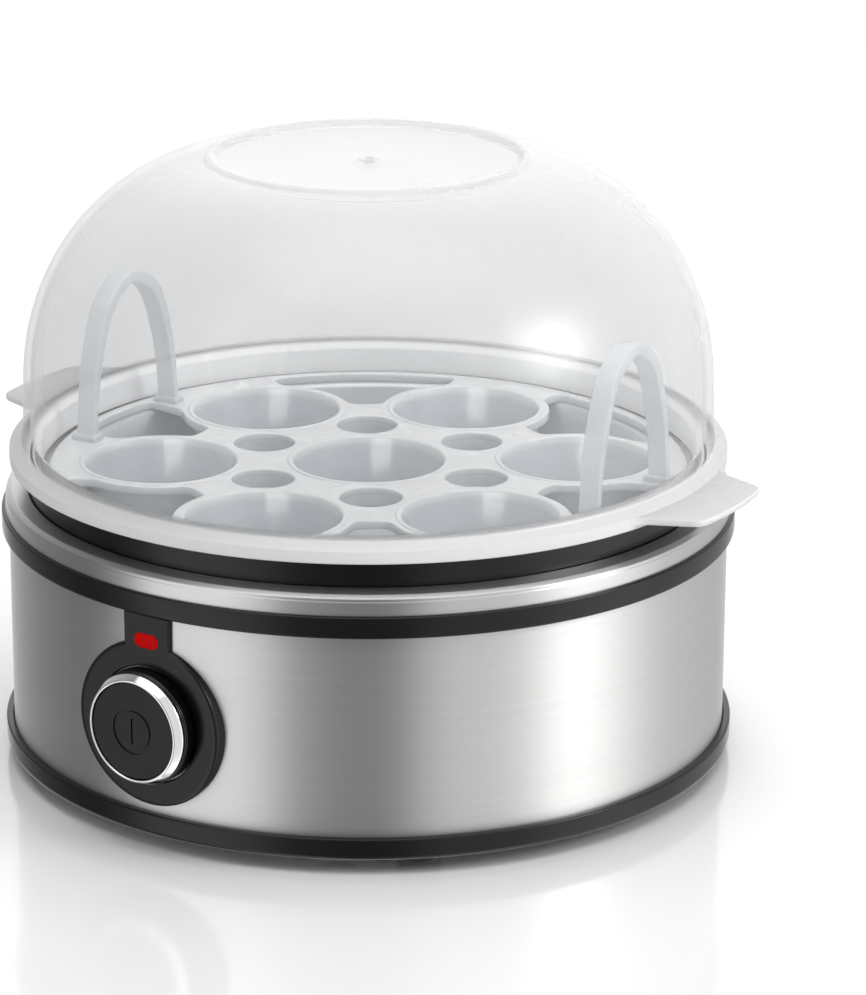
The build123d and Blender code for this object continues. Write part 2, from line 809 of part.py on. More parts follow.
def bottom_cover():
    """The underside, with vents, stiffening ribs, screw bosses and holes for the feet."""
    top = cover_bottom + cover_thickness
    cover = disc(cover_radius, cover_bottom, top)
    for radius in (inner_rib, outer_rib):
        cover += tube(radius, radius - rib_thickness, top, top + rib_height)
    spoke_middle = (inner_rib + outer_rib - rib_thickness) / 2
    spoke = Box(outer_rib - inner_rib, rib_thickness, rib_height)
    for angle in around(8, 22.5):
        cover += Rot(0, 0, angle) * Pos(spoke_middle, 0, top + rib_height / 2) * spoke
    for angle in mirrored_angles(90 - post_angle):
        place = Pos(*at(post_circle, angle))
        cover += place * disc(boss_radius, cover_bottom, top + boss_height)
        cover -= place * disc(screw_head + cover_gap, cover_bottom - 1, top + 1)
        cover -= place * disc(screw_radius + 2 * seat_gap, cover_bottom, top + boss_height + 1)
    for angle in mirrored_angles(foot_angle):
        cover -= Pos(*at(foot_circle, angle)) * disc(foot_stem + fit, 0, top + 1)
    for angle in around(24, 7.5):
        if abs(angle - 90) > 15:
            cover -= radial_slot(outer_vent_circle, angle, outer_vent_length)
    for angle in around(8):
        cover -= radial_slot(inner_vent_circle, angle, inner_vent_length)
    return cover


def rubber_feet():
    """Four rubber feet, each with a stem that locks above the cover."""
    top = cover_bottom + cover_thickness
    foot = turned(
        section(
            (0, 0),
            (foot_radius - 0.6, 0),
            (foot_radius, cover_bottom),
            (foot_stem, cover_bottom),
            (foot_stem, top),
            (foot_stem + 0.6, top),
            (foot_stem - 0.4, top + 1.8),
            (0, top + 1.8),
            rounds=[((foot_radius - 0.6, 0), 0.6)],
        )
    )
    places = [Pos(*at(foot_circle, angle)) for angle in mirrored_angles(foot_angle)]
    return Compound(children=[place * foot for place in places])


def housing_screws():
    """The four screws that draw the cover up to the posts."""
    head_top = cover_bottom + cover_thickness + 1
    head_bottom = head_top - screw_head_height
    screw = disc(screw_head, head_bottom, head_top)
    screw += disc(screw_radius, head_bottom + 1, head_top + screw_length)
    long, wide = screw_slot
    screw -= Pos(0, 0, head_bottom) * Box(long, wide, screw_head_height)
    screw -= Pos(0, 0, head_bottom) * Box(wide, long, screw_head_height)
    places = [Pos(*at(post_circle, angle)) for angle in mirrored_angles(90 - post_angle)]
    return Compound(children=[place * screw for place in places])


def plate_seal():
    """The flat silicone ring under the heating plate's rim."""
    top = plate_rim_top - plate_sheet
    return tube(plate_rim_radius, ledge_inner + 2 * seat_gap, top - seal_thickness, top)


def heating_plate():
    """The pressed plate that holds the water: rim, wall, floor and a shallow central well."""
    floor = plate_floor_top
    under = floor - plate_sheet
    rim_under = plate_rim_top - plate_sheet
    wall = plate_wall_radius
    dish = turned(
        section(
            (0, floor - well_depth),
            (well_radius - well_slope, floor - well_depth),
            (well_radius, floor),
            (plate_floor_radius, floor),
            (wall, plate_rim_top),
            (plate_rim_radius, plate_rim_top),
            (plate_rim_radius, rim_under),
            (wall + 0.6, rim_under),
            (plate_floor_radius + 0.9, under),
            (well_radius + 0.4, under),
            (well_radius + 0.4 - well_slope, under - well_depth),
            (0, under - well_depth),
            rounds=[
                ((plate_floor_radius, floor), plate_floor_bend),
                ((plate_floor_radius + 0.9, under), plate_floor_bend + plate_sheet),
                ((wall, plate_rim_top), plate_rim_bend),
                ((wall + 0.6, rim_under), plate_rim_bend - plate_sheet),
            ],
        )
    )
    for side in (1, -1):
        stud = disc(stud_radius, under - well_depth - stud_length, under - well_depth + 2 * seat_gap)
        dish += Pos(side * stud_offset, 0) * stud
    return dish


def element_ring(radius, turn):
    """A ring of round section under the plate, open by what is left of a full turn."""
    height = plate_floor_top - plate_sheet - casting_height + element_rise
    start = Plane(origin=(element_circle, 0, height), x_dir=(1, 0, 0), z_dir=(0, -1, 0))
    return Rot(0, 0, (360 - turn) / 2) * revolve(start * Circle(radius), Axis.Z, turn)


def pin_place(side):
    """Where one of the element's two cold pins is."""
    return at(element_circle, side * (element_opening / 2 + pin_setback))


def pin_places():
    """The two pins' places."""
    return [Pos(*pin_place(side)) for side in (1, -1)]


def heating_element():
    """The tubular element, an open ring under the plate with a cold pin at each end."""
    element = element_ring(element_radius, 360 - element_opening)
    for place in pin_places():
        element += place * disc(pin_radius, pin_bottom, pin_top)
    return element


def element_casting():
    """The aluminium ring that holds the element against the plate."""
    top = plate_floor_top - plate_sheet
    inner = element_circle - casting_half_width
    casting = tube(element_circle + casting_half_width, inner, top - casting_height, top)
    casting = chamfer(casting.edges().filter_by(GeomType.CIRCLE).group_by(Axis.Z)[0], 0.8)
    return casting - element_ring(element_radius + fit, 360.2 - element_opening)


def thermostat():
    """The disc thermostat pressed against the middle of the plate, with two blades."""
    top = plate_floor_top - plate_sheet - well_depth
    cap_bottom = top - thermostat_cap_height
    body = disc(thermostat_cap, cap_bottom, top)
    body = fillet(body.edges().filter_by(GeomType.CIRCLE).sort_by(Axis.Z)[-1], 0.6)
    body_bottom = cap_bottom - thermostat_body_height
    body += disc(thermostat_body, body_bottom, cap_bottom)
    terminal = blade(blade_thickness, blade_width, body_bottom - blade_bottom)
    for side in (1, -1):
        body += Pos(side * thermostat_blade_offset, 0, blade_bottom) * terminal
    return body


def thermostat_strap():
    """The steel strap that presses the thermostat up, held on the plate's two studs."""
    top = plate_floor_top - plate_sheet - well_depth - thermostat_cap_height
    outline = SlotOverall(2 * stud_offset + strap_width, strap_width) + Circle(thermostat_body + strap_ring)
    outline -= Circle(thermostat_body + seat_gap)
    for side in (1, -1):
        outline -= Pos(side * stud_offset, 0) * Circle(stud_radius + seat_gap)
    return Pos(0, 0, top - strap_sheet) * extrude(outline, strap_sheet)


def strap_nuts():
    """The two nuts under the strap."""
    top = plate_floor_top - plate_sheet - well_depth - thermostat_cap_height - strap_sheet
    nut = RegularPolygon(nut_radius, 6) - Circle(stud_radius + fit)
    nut = extrude(nut, nut_height)
    return Compound(children=[Pos(side * stud_offset, 0, top - nut_height) * nut for side in (1, -1)])


def fuse_axis_height():
    """The height of the thermal fuse, just under the plate's floor."""
    return plate_floor_top - plate_sheet - fuse_radius - fit


def thermal_fuse():
    """The thermal fuse in its insulating sleeve."""
    return Pos(0, fuse_offset, fuse_axis_height()) * Rot(0, 90, 0) * Cylinder(fuse_radius, fuse_length)


def fuse_clip():
    """The sheet saddle, spot-welded under the plate, that holds the fuse."""
    inner = fuse_radius + fit
    outer = inner + clip_sheet
    depth = plate_floor_top - plate_sheet - fuse_axis_height()
    saddle = Circle(outer) + Pos(0, depth / 2) * Rectangle(2 * outer, depth)
    saddle -= Circle(inner) + Pos(0, depth / 2) * Rectangle(2 * inner, depth)
    wings = Rectangle(2 * outer + 2 * clip_wing, clip_sheet) - Rectangle(2 * inner, clip_sheet)
    wings = Pos(0, depth - clip_sheet / 2) * wings
    keep = Pos(0, depth - outer - depth) * Rectangle(4 * outer, 2 * outer + 2 * depth)
    clip = ((saddle + wings) & keep).face()
    corner = (-clip_width / 2, fuse_offset, fuse_axis_height())
    across = Plane(origin=corner, x_dir=(0, 1, 0), z_dir=(1, 0, 0))
    return extrude(across * clip, clip_width)


def terminal_block():
    """The two-pole block on the cover, where the cord's wires meet the inner ones."""
    bottom = cover_bottom + cover_thickness
    middle = block_front + block_depth / 2
    block = Pos(0, middle, bottom + block_height / 2) * Box(block_width, block_depth, block_height)
    block -= Pos(0, middle, bottom + block_height) * Box(block_slot, block_depth, block_height / 2)
    for side in (1, -1):
        pole = side * block_width / 4
        block -= Pos(pole, middle, bottom + block_screw_height) * extrude(Circle(2.2), 4)
        bore = Pos(pole, block_front - 1, bottom + block_bore_height) * Rot(-90, 0, 0)
        block -= bore * extrude(Circle(wire_radius + 0.5), 5)
    return block


def wire(*points, radius=wire_radius):
    """An insulated wire along straight runs joined by arcs as large as the runs allow."""
    path_points = [Vector(*point) for point in points]
    radii = [0.0] * len(path_points)
    for i in range(1, len(path_points) - 1):
        before = path_points[i] - path_points[i - 1]
        after = path_points[i + 1] - path_points[i]
        half_turn = radians(before.get_angle(after) / 2)
        radii[i] = 0.45 * min(before.length, after.length) * cos(half_turn) / sin(half_turn)
    path = FilletPolyline(*path_points, radius=radii[1:-1])
    start = Plane(path @ 0, z_dir=path % 0)
    return sweep(start * Circle(radius), path=path.wire())


def block_entry(side):
    """Where a wire leaves the terminal block, on its inner side."""
    return (side * block_width / 4, block_front + 2.5, cover_bottom + cover_thickness + block_bore_height)


def switch_end(side, back=0.0):
    """The end of one of the switch's blades, or a point straight behind it."""
    end = switch_front - switch_length - switch_blade
    return (side * switch_blade_offset, back - end, switch_height - switch_blade_drop)


def live_wire():
    """From the terminal block to the switch."""
    x, y, z = block_entry(-1)
    return wire(
        (x, y, z),
        (x, block_front - 14, z + 3),
        (x - 8, inner_rib, wire_low + 3),
        (x - 6, -16, wire_low + 8),
        switch_end(-1, 12),
        switch_end(-1),
    )


def neutral_wire():
    """From the terminal block to one pin of the element."""
    x, y, z = block_entry(1)
    pin_x, pin_y, _ = pin_place(1)
    return wire(
        (x, y, z),
        (x + 1, block_front - 14, z + 1),
        (pin_x - 14, pin_y + 14, wire_low),
        (pin_x, pin_y, wire_low + 9),
        (pin_x, pin_y, pin_bottom),
    )


def switched_wire():
    """From the switch to the thermostat."""
    return wire(
        switch_end(1),
        switch_end(1, 12),
        (switch_blade_offset + 1.5, -14, wire_low + 3),
        (thermostat_blade_offset, 0, wire_low + 7),
        (thermostat_blade_offset, 0, blade_bottom),
    )


def fuse_wire():
    """From the thermostat to the fuse."""
    height = fuse_axis_height()
    return wire(
        (-thermostat_blade_offset, 0, blade_bottom),
        (-thermostat_blade_offset, 0, wire_low + 10),
        (-13, 10, wire_low + 9),
        (-19, fuse_offset - 6, blade_bottom),
        (-21, fuse_offset, height),
        (-fuse_length / 2, fuse_offset, height),
    )


def element_wire():
    """From the fuse to the other pin of the element."""
    height = fuse_axis_height()
    pin_x, pin_y, _ = pin_place(-1)
    return wire(
        (fuse_length / 2, fuse_offset, height),
        (21, fuse_offset, height),
        (24, fuse_offset - 12, blade_bottom + 5),
        (29, 0, blade_bottom - 3),
        (pin_x - 2, pin_y + 6, wire_low + 11),
        (pin_x, pin_y, blade_bottom - 3),
        (pin_x, pin_y, pin_bottom),
    )


def lamp_wires():
    """The lamp's two thin wires: one to the switch, one to the element's first pin."""
    blade_top = switch_height - switch_blade_drop + switch_blade_width / 2
    pin_x, pin_y, _ = pin_place(1)
    half = lamp_radius / 2
    to_switch = wire(
        (half, -lamp_back, lens_height),
        (half, -switch_front, lens_height),
        (switch_blade_offset, -46, pin_bottom + 2),
        (switch_blade_offset, -46, blade_top),
        radius=lamp_wire_radius,
    )
    to_pin = wire(
        (-half, -lamp_back, lens_height),
        (-half, -switch_front - 3, lens_height),
        (inner_rib, -outer_rib, pin_bottom),
        (outer_rib - 2, -14, wire_low + 20),
        (pin_x + 12, pin_y - 4, pin_bottom + 1),
        (pin_x + pin_radius + 2 * seat_gap, pin_y, pin_bottom + 2),
        radius=lamp_wire_radius,
    )
    return Compound(children=[to_switch, to_pin])


def build():
    """Make every sub-part and write its file."""
    os.makedirs("parts", exist_ok=True)
    save("lid", lid())
    save("egg_tray", egg_tray())
    save("tray_handle_right", tray_handle(first_gap_angle))
    save("tray_handle_left", tray_handle(first_gap_angle + 180))
    save("heating_plate", heating_plate())
    save("plate_seal", plate_seal())
    save("heating_element", heating_element())
    save("element_casting", element_casting())
    save("thermostat", thermostat())
    save("thermostat_strap", thermostat_strap())
    save("strap_nuts", strap_nuts())
    save("thermal_fuse", thermal_fuse())
    save("fuse_clip", fuse_clip())
    save("upper_housing", upper_housing())
    save("steel_collar", steel_collar())
    save("outer_shell", outer_shell())
    save("switch_panel", switch_panel())
    save("indicator_lens", indicator_lens())
    save("lamp_socket", lamp_socket())
    save("indicator_lamp", indicator_lamp())
    save("button_skirt", button_skirt())
    save("button_chrome_ring", button_chrome_ring())
    save("button_cap", button_cap())
    save("button_spring", button_spring())
    save("panel_screws", panel_screws())
    save("switch_bracket", switch_bracket())
    save("switch_body", switch_body())
    save("switch_plunger", switch_plunger())
    save("base_ring", base_ring())
    save("bottom_cover", bottom_cover())
    save("rubber_feet", rubber_feet())
    save("housing_screws", housing_screws())
    save("cord_gland", cord_gland())
    save("terminal_block", terminal_block())
    save("live_wire", live_wire())
    save("neutral_wire", neutral_wire())
    save("switched_wire", switched_wire())
    save("fuse_wire", fuse_wire())
    save("element_wire", element_wire())
    save("lamp_wires", lamp_wires())


build()
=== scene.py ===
import json
from math import asin, atan, atan2, cos, degrees, hypot, pi, radians, sin, sqrt, tan

import bmesh
import bpy
from bpy.props import FloatProperty, FloatVectorProperty, IntProperty, PointerProperty
from bpy.types import Operator, Panel, PropertyGroup
from mathutils import Matrix, Vector


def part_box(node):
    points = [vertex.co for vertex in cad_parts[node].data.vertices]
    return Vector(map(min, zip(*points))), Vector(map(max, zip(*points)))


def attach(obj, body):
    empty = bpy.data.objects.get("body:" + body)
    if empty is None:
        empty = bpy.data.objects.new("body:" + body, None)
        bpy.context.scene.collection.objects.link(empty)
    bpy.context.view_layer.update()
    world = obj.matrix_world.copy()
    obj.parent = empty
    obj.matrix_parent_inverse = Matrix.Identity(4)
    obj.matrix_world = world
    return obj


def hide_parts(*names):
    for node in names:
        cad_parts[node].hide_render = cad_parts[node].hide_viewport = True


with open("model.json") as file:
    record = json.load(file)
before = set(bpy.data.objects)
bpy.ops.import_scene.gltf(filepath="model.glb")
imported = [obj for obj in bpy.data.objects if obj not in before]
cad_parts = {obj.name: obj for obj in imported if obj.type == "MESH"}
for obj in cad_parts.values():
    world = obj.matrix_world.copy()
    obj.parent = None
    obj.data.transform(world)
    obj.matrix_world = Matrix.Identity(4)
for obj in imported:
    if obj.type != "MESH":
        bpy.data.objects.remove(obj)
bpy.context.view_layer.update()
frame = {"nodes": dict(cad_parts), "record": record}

bl_info = {
    "name": "Electric egg cooker",
    "version": (1, 0, 0),
    "blender": (4, 5, 0),
    "location": "3D View > Sidebar > Egg Cooker",
    "description": "Dresses the frame of a seven-egg cooker with detailed pieces and finishes",
    "category": "Object",
}

MM = 0.001


def low(node):
    """The lowest corner of a node in the frame, in millimetres."""
    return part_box(node)[0] / MM


def high(node):
    """The highest corner of a node in the frame, in millimetres."""
    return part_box(node)[1] / MM


def mid_height(node):
    """The height of a node's middle, in millimetres."""
    return (low(node).z + high(node).z) / 2


# Sizes that the pieces share, in millimetres, read from the frame
shell_radius = high("outer_shell").x
band_radius = high("upper_housing").x
base_radius = high("base_ring").x
cover_radius = high("bottom_cover").x
neck_top = high("upper_housing").z
collar_top = high("steel_collar").z
collar_bottom = low("steel_collar").z
lid_top = high("lid").z
tray_radius = high("egg_tray").x
tray_top = high("egg_tray").z
tray_foot = low("egg_tray").z
handle_top = high("tray_handle_left").z
plate_radius = high("heating_plate").x
plate_top = high("heating_plate").z
button_face = -low("button_chrome_ring").y
switch_height = mid_height("button_cap")
lens_height = mid_height("indicator_lens")
# The panel's front is flat here, a little behind the highest line of the frame's bowed one
panel_face = -low("switch_panel").y - 0.6


def length_prop(name, description, millimetres):
    """A size that a user would change."""
    return FloatProperty(
        name=name, description=description, default=millimetres * MM, subtype="DISTANCE"
    )


def angle_prop(name, description, turn):
    """An angle that a user would change, in radians."""
    return FloatProperty(name=name, description=description, default=turn, subtype="ANGLE")


def power_prop(name, description, watts):
    """A light's power that a user would change."""
    return FloatProperty(name=name, description=description, default=watts, unit="POWER")


def colour_prop(name, description, colour):
    """A colour that a user would change."""
    return FloatVectorProperty(name=name, description=description, default=colour, subtype="COLOR")


class CookerSizes(PropertyGroup):
    """Sizes that a user would change."""

    roundness: IntProperty(
        name="Roundness", description="Steps around the round pieces", default=288, min=48, max=720
    )
    gap_corner: length_prop("Gap corner", "Rounding of the openings in the tray", 2.4)
    tray_edge: length_prop("Tray edge", "Rounding of the tray's edges", 0.35)
    handle_edge: length_prop("Handle edge", "Rounding of the handles' edges", 0.5)
    brush_pitch: length_prop("Brush pitch", "Height of one brush line on the steel", 0.16)


class CookerColours(PropertyGroup):
    """Colours that a user would change."""

    steel: colour_prop("Steel", "Brushed steel wall", (0.67, 0.665, 0.66))
    collar: colour_prop("Collar", "Pressed steel trim", (0.62, 0.615, 0.61))
    black: colour_prop("Black plastic", "Housing, panel and base", (0.0022, 0.0021, 0.0022))
    lid: colour_prop("Lid", "Milky lid plastic", (0.42, 0.425, 0.43))
    # The lid edge colour is partly painted light: whiter haze at a slant, and light painted on the
    # dome's sides
    lid_edge_haze_and_light: colour_prop("Lid edge", "Lid plastic seen from the side", (0.92, 0.922, 0.925))
    # The lid lip colour is painted lighter: painted light in the shaded pocket inside the neck
    lid_lip_painted_light: colour_prop("Lid lip", "Lid plastic of the lip inside the neck", (0.95, 0.955, 0.96))
    lid_upright: colour_prop("Lid rim", "Thick lid plastic that stands up", (0.62, 0.625, 0.63))
    # The lid foot colour is painted shade on thick faces that lie level
    lid_level_painted_shade: colour_prop("Lid foot", "Thick lid plastic that lies level", (0.42, 0.423, 0.426))
    tray: colour_prop("Tray", "Egg tray plastic", (0.70, 0.71, 0.72))
    # The cup wall colour is partly painted shade: thin bluer plastic, painted darker for the shade
    # inside the cups
    cup_wall_thin_and_shaded: colour_prop("Cup walls", "Egg tray plastic where it is thin", (0.50, 0.525, 0.565))
    handle: colour_prop("Handles", "Tray handle plastic", (0.80, 0.83, 0.86))
    lens: colour_prop("Lens", "Indicator window", (0.40, 0.0012, 0.0016))
    floor: colour_prop("Floor", "Studio floor", (0.70, 0.70, 0.70))


class StudioSettings(PropertyGroup):
    """The camera, as fitted to the photograph, and the lights."""

    azimuth: angle_prop("Azimuth", "Camera's turn to the right of the front", radians(35.1))
    distance: length_prop("Distance", "Camera from the axis, level", 973.94)
    height: length_prop("Height", "Camera above the floor", 378.39)
    pitch: angle_prop("Pitch", "Camera's tilt below the horizon", 0.312794)
    focal: FloatProperty(
        name="Focal length", description="In picture widths of 36 mm",
        default=147.39, subtype="DISTANCE_CAMERA",
    )
    turn: angle_prop("Turn", "Camera's turn past the axis", atan(64.09 / 4073.6))
    ceiling: FloatProperty(
        name="Ceiling", description="Brightness straight above", default=2.3, min=0.0
    )
    overhead: power_prop("Overhead", "Power of the light above", 14.0)
    fill: power_prop("Fill", "Power of the light from the front", 6.5)
    streaks: power_prop("Streaks", "Power of the light in the cups", 22.0)
    side: power_prop("Side", "Power of the light on the right", 4.4)
    side_azimuth: angle_prop("Side azimuth", "That light's turn right of the camera", radians(69))
    side_height: length_prop("Side height", "That light's place above the floor", 700.0)


def colours():
    return bpy.context.scene.egg_cooker_colours


def sizes():
    return bpy.context.scene.egg_cooker_sizes


def studio():
    return bpy.context.scene.egg_cooker_studio


class Value:
    """A number that varies over a surface. Arithmetic on it adds Math nodes."""

    def __init__(self, nodes, socket):
        self.nodes = nodes
        self.socket = socket

    def math(self, operation, *terms):
        return self.nodes.add("ShaderNodeMath", {"operation": operation}, dict(enumerate(terms)))

    def __add__(self, other):
        return self.math("ADD", self, other)

    def __radd__(self, other):
        return self.math("ADD", other, self)

    def __sub__(self, other):
        return self.math("SUBTRACT", self, other)

    def __rsub__(self, other):
        return self.math("SUBTRACT", other, self)

    def __mul__(self, other):
        return self.math("MULTIPLY", self, other)

    def __rmul__(self, other):
        return self.math("MULTIPLY", other, self)

    def __pow__(self, other):
        return self.math("POWER", self, other)

    def __rpow__(self, other):
        return self.math("POWER", other, self)


class Nodes:
    """A node tree, with one method that adds any node and a few for what is often added."""

    def __init__(self, tree):
        self.tree = tree

    def add(self, kind, settings=None, inputs=None, output=0):
        """A node with its settings made first, then the values or links of its sockets."""
        node = self.tree.nodes.new(kind)
        for key, value in (settings or {}).items():
            if key == "stops":
                fill_ramp(node.color_ramp, value)
            else:
                setattr(node, key, value)
        for key, value in (inputs or {}).items():
            self.feed(named(node.inputs, key), value)
        return Value(self, named(node.outputs, output))

    def feed(self, socket, value):
        """Link a varying value to a socket, or set a plain one on it."""
        if isinstance(value, Value):
            self.tree.links.new(value.socket, socket)
        else:
            socket.default_value = value

    def part(self, vector, axis):
        """The X, Y or Z of a vector."""
        return self.add("ShaderNodeSeparateXYZ", inputs={"Vector": vector}, output=axis)

    def noise(self, lumps, detail=2.0, roughness=0.5, scale=(1.0, 1.0, 1.0)):
        """Noise from 0 to 1 over the object, with this many lumps per metre."""
        spot = self.add("ShaderNodeTexCoord", output="Object")
        place = self.add("ShaderNodeMapping", inputs={"Vector": spot, "Scale": scale})
        inputs = {"Vector": place, "Scale": lumps, "Detail": detail, "Roughness": roughness}
        return self.add("ShaderNodeTexNoise", inputs=inputs)

    def ease(self, value, start, end):
        """A smooth step from 0 at the start to 1 at the end."""
        inputs = {"Value": value, "From Min": start, "From Max": end}
        return self.add("ShaderNodeMapRange", {"interpolation_type": "SMOOTHSTEP"}, inputs)

    def blend(self, factor, first, second):
        """A colour between two others."""
        inputs = {"Factor": factor, "A": first, "B": second}
        return self.add("ShaderNodeMix", {"data_type": "RGBA"}, inputs, "Result")

    def tint(self, factor, colour, dark, light):
        """A colour that runs from its dark share to its light one."""
        return self.blend(factor, opaque(colour, dark), opaque(colour, light))

    def bump(self, height, distance, strength=1.0):
        """A Normal from a height of up to one distance, in millimetres."""
        inputs = {"Height": height, "Distance": distance * MM, "Strength": strength}
        return self.add("ShaderNodeBump", inputs=inputs, output="Normal")


class Finish(Nodes):
    """One material's nodes, with its shader."""

    def __init__(self, name, **constants):
        self.material = bpy.data.materials.new(name)
        self.material.use_nodes = True
        super().__init__(self.material.node_tree)
        self.shader = self.tree.nodes["Principled BSDF"]
        self.give(**constants)

    def give(self, **values):
        """Set or feed the shader's sockets."""
        for socket, value in values.items():
            self.feed(self.shader.inputs[socket.replace("_", " ")], value)
        return self

    def cover(self, share, gloss):
        """Lay a share of another shader over the material's own."""
        inputs = {0: share, 1: Value(self, self.shader.outputs[0]), 2: gloss}
        surface = self.tree.nodes["Material Output"].inputs["Surface"]
        self.feed(surface, self.add("ShaderNodeMixShader", inputs=inputs))


def named(sockets, key):
    """The socket with this number, or the one of this name that is in use."""
    if isinstance(key, int):
        return sockets[key]
    return next(socket for socket in sockets if socket.name == key and socket.enabled)


def fill_ramp(ramp, stops):
    """Give a colour ramp these (position, colour) stops."""
    while len(ramp.elements) > 1:
        ramp.elements.remove(ramp.elements[-1])
    ramp.elements[0].position, ramp.elements[0].color = stops[0]
    for position, colour in stops[1:]:
        ramp.elements.new(position).color = colour


def opaque(colour, share=1.0):
    """A colour with its alpha, made lighter or darker by a share."""
    return (*[channel * share for channel in colour], 1.0)


def brushed_steel(name, colour, roughness, grain):
    """Steel brushed around the axis: fine level lines that spread its highlights up and down."""
    steel = Finish(name, Metallic=1.0, Anisotropic=0.9, Anisotropic_Rotation=0.25)
    pitch = sizes().brush_pitch
    fine = steel.noise(1.0, 3.0, 0.6, scale=(14.0, 14.0, 1.0 / pitch))
    broad = steel.noise(1.0, scale=(5.0, 5.0, 0.12 / pitch))
    tone = fine * 0.65 + broad * 0.35
    return steel.give(
        Base_Color=steel.tint(tone, colour, 1 - grain, 1 + grain),
        Roughness=tone * 0.10 + (roughness - 0.05),
        Normal=steel.bump(fine, 0.004, 0.5),
    )


def plate_steel():
    """The water plate: pressed steel with fine circular brushing and faint lime marks."""
    steel = Finish("plate_steel", Metallic=0.8, Anisotropic=0.5, Anisotropic_Rotation=0.25)
    rings = steel.noise(1.0, 2.0, 0.6, scale=(900.0, 900.0, 40.0))
    marks = steel.noise(55.0, 4.0, 0.6)
    return steel.give(
        Base_Color=steel.blend(marks, opaque((0.77, 0.79, 0.825)), opaque((0.84, 0.86, 0.89))),
        Roughness=marks * 0.15 + 0.30,
        Normal=steel.bump(rings, 0.003, 0.4),
    )


def black_plastic():
    """Satin moulded plastic with a fine even grain."""
    plastic = Finish("black_plastic", Specular_IOR_Level=0.40)
    cloud = plastic.noise(38.0)
    return plastic.give(
        Base_Color=plastic.tint(cloud, colours().black, 0.9, 1.15),
        Roughness=cloud * 0.05 + 0.19,
        Normal=plastic.bump(plastic.noise(5200.0), 0.012, 0.35),
    )


def cap_plastic():
    """The button's cap: the same black, duller and of a finer grain."""
    plastic = Finish("cap_plastic", Specular_IOR_Level=0.40)
    cloud = plastic.noise(60.0)
    return plastic.give(
        Base_Color=plastic.tint(cloud, colours().black, 0.85, 1.1),
        Roughness=cloud * 0.05 + 0.30,
        Normal=plastic.bump(plastic.noise(4000.0), 0.008, 0.25),
    )


def chrome():
    """Bright plating, with the faint waves that plated plastic has."""
    plating = Finish("chrome", Metallic=1.0, Base_Color=opaque((0.86, 0.865, 0.87)))
    waves = plating.noise(160.0, 1.0, 0.4)
    return plating.give(Roughness=waves * 0.04 + 0.04, Normal=plating.bump(waves, 0.01, 0.3))


def lid_plastic():
    """Milky clear plastic: a thin white veil under a full gloss, nearly solid in the thick foot.
    Its colours hold painted light: a lighter lip, painted shade on level faces, and a veil painted
    whiter towards the silhouettes.
    """
    plastic = Finish("lid_plastic", IOR=1.49, Specular_IOR_Level=0.0, Roughness=0.5)
    edge = plastic.add("ShaderNodeLayerWeight", inputs={"Blend": 0.5}, output="Facing")
    haze = plastic.noise(24.0, 3.0)
    bump = plastic.bump(plastic.noise(60.0, scale=(1.0, 1.0, 0.25)), 0.03, 0.08)
    spot = plastic.add("ShaderNodeTexCoord", output="Object")
    height = plastic.part(spot, "Z")
    foot = plastic.ease(height, (flange_top + 1.6) * MM, (flange_top - 0.2) * MM)
    up = plastic.part(plastic.add("ShaderNodeNewGeometry", output="Normal"), "Z")
    flat = plastic.add("ShaderNodeVectorMath", {"operation": "MULTIPLY"}, {0: spot, 1: (1, 1, 0)})
    reach = plastic.add("ShaderNodeVectorMath", {"operation": "LENGTH"}, {0: flat}, "Value")
    rim = plastic.ease(reach, (lip_radius + 0.5) * MM, (lid_foot_radius + 1.0) * MM)
    # Painted light: the lip inside the neck is painted lighter than the rim outside it
    rim_with_painted_lip_light = plastic.blend(rim, opaque(colours().lid_lip_painted_light), opaque(colours().lid_upright))
    # Painted shade: thick faces that lie level are painted darker than the upright ones
    thick_painted_light_and_shade = plastic.blend(up * up * rim, rim_with_painted_lip_light, opaque(colours().lid_level_painted_shade))
    # Partly painted light: the veil turns whiter towards the silhouettes, for the thicker haze at a
    # slant and as painted light on the sides
    veil_with_edge_light = plastic.blend(edge * edge, opaque(colours().lid), opaque(colours().lid_edge_haze_and_light))
    veil = edge**3 * 0.16 + haze * 0.03 + 0.17
    plastic.give(
        Base_Color=plastic.blend(foot, veil_with_edge_light, thick_painted_light_and_shade),
        Alpha=veil + foot * (0.94 - veil),
        Normal=bump,
    )
    inputs = {"Roughness": haze * 0.08 + 0.24, "Normal": bump}
    gloss = plastic.add("ShaderNodeBsdfAnisotropic", inputs=inputs)
    plastic.cover(edge**8 * 0.6 + 0.03, gloss)
    return plastic


def tray_plastic():
    """Pale translucent plastic: solid and light on top, thinner and bluer in the cup walls, which
    are also painted darker as painted shade.
    """
    plastic = Finish("tray_plastic", IOR=1.49, Coat_Weight=0.6, Coat_Roughness=0.10)
    cloud = plastic.noise(45.0)
    height = plastic.part(plastic.add("ShaderNodeTexCoord", output="Object"), "Z")
    # Below the top the walls take the darker, bluer cup wall colour, partly thin plastic and partly
    # painted shade inside the cups
    wall = plastic.ease(height, (tray_top - 0.2) * MM, (tray_top - 2.5) * MM)
    top = plastic.tint(cloud, colours().tray, 0.97, 1.03)
    side = plastic.tint(cloud, colours().cup_wall_thin_and_shaded, 0.95, 1.05)
    return plastic.give(
        Base_Color=plastic.blend(wall, top, side),
        Roughness=cloud * 0.08 + 0.22,
        Normal=plastic.bump(plastic.noise(900.0), 0.006, 0.3),
    )


def handle_plastic():
    """Blue-grey translucent plastic of the two handles."""
    plastic = Finish("handle_plastic", IOR=1.49)
    cloud = plastic.noise(90.0)
    return plastic.give(
        Base_Color=plastic.tint(cloud, colours().handle, 0.94, 1.06),
        Alpha=cloud * 0.06 + 0.60,
        Roughness=cloud * 0.06 + 0.22,
    )


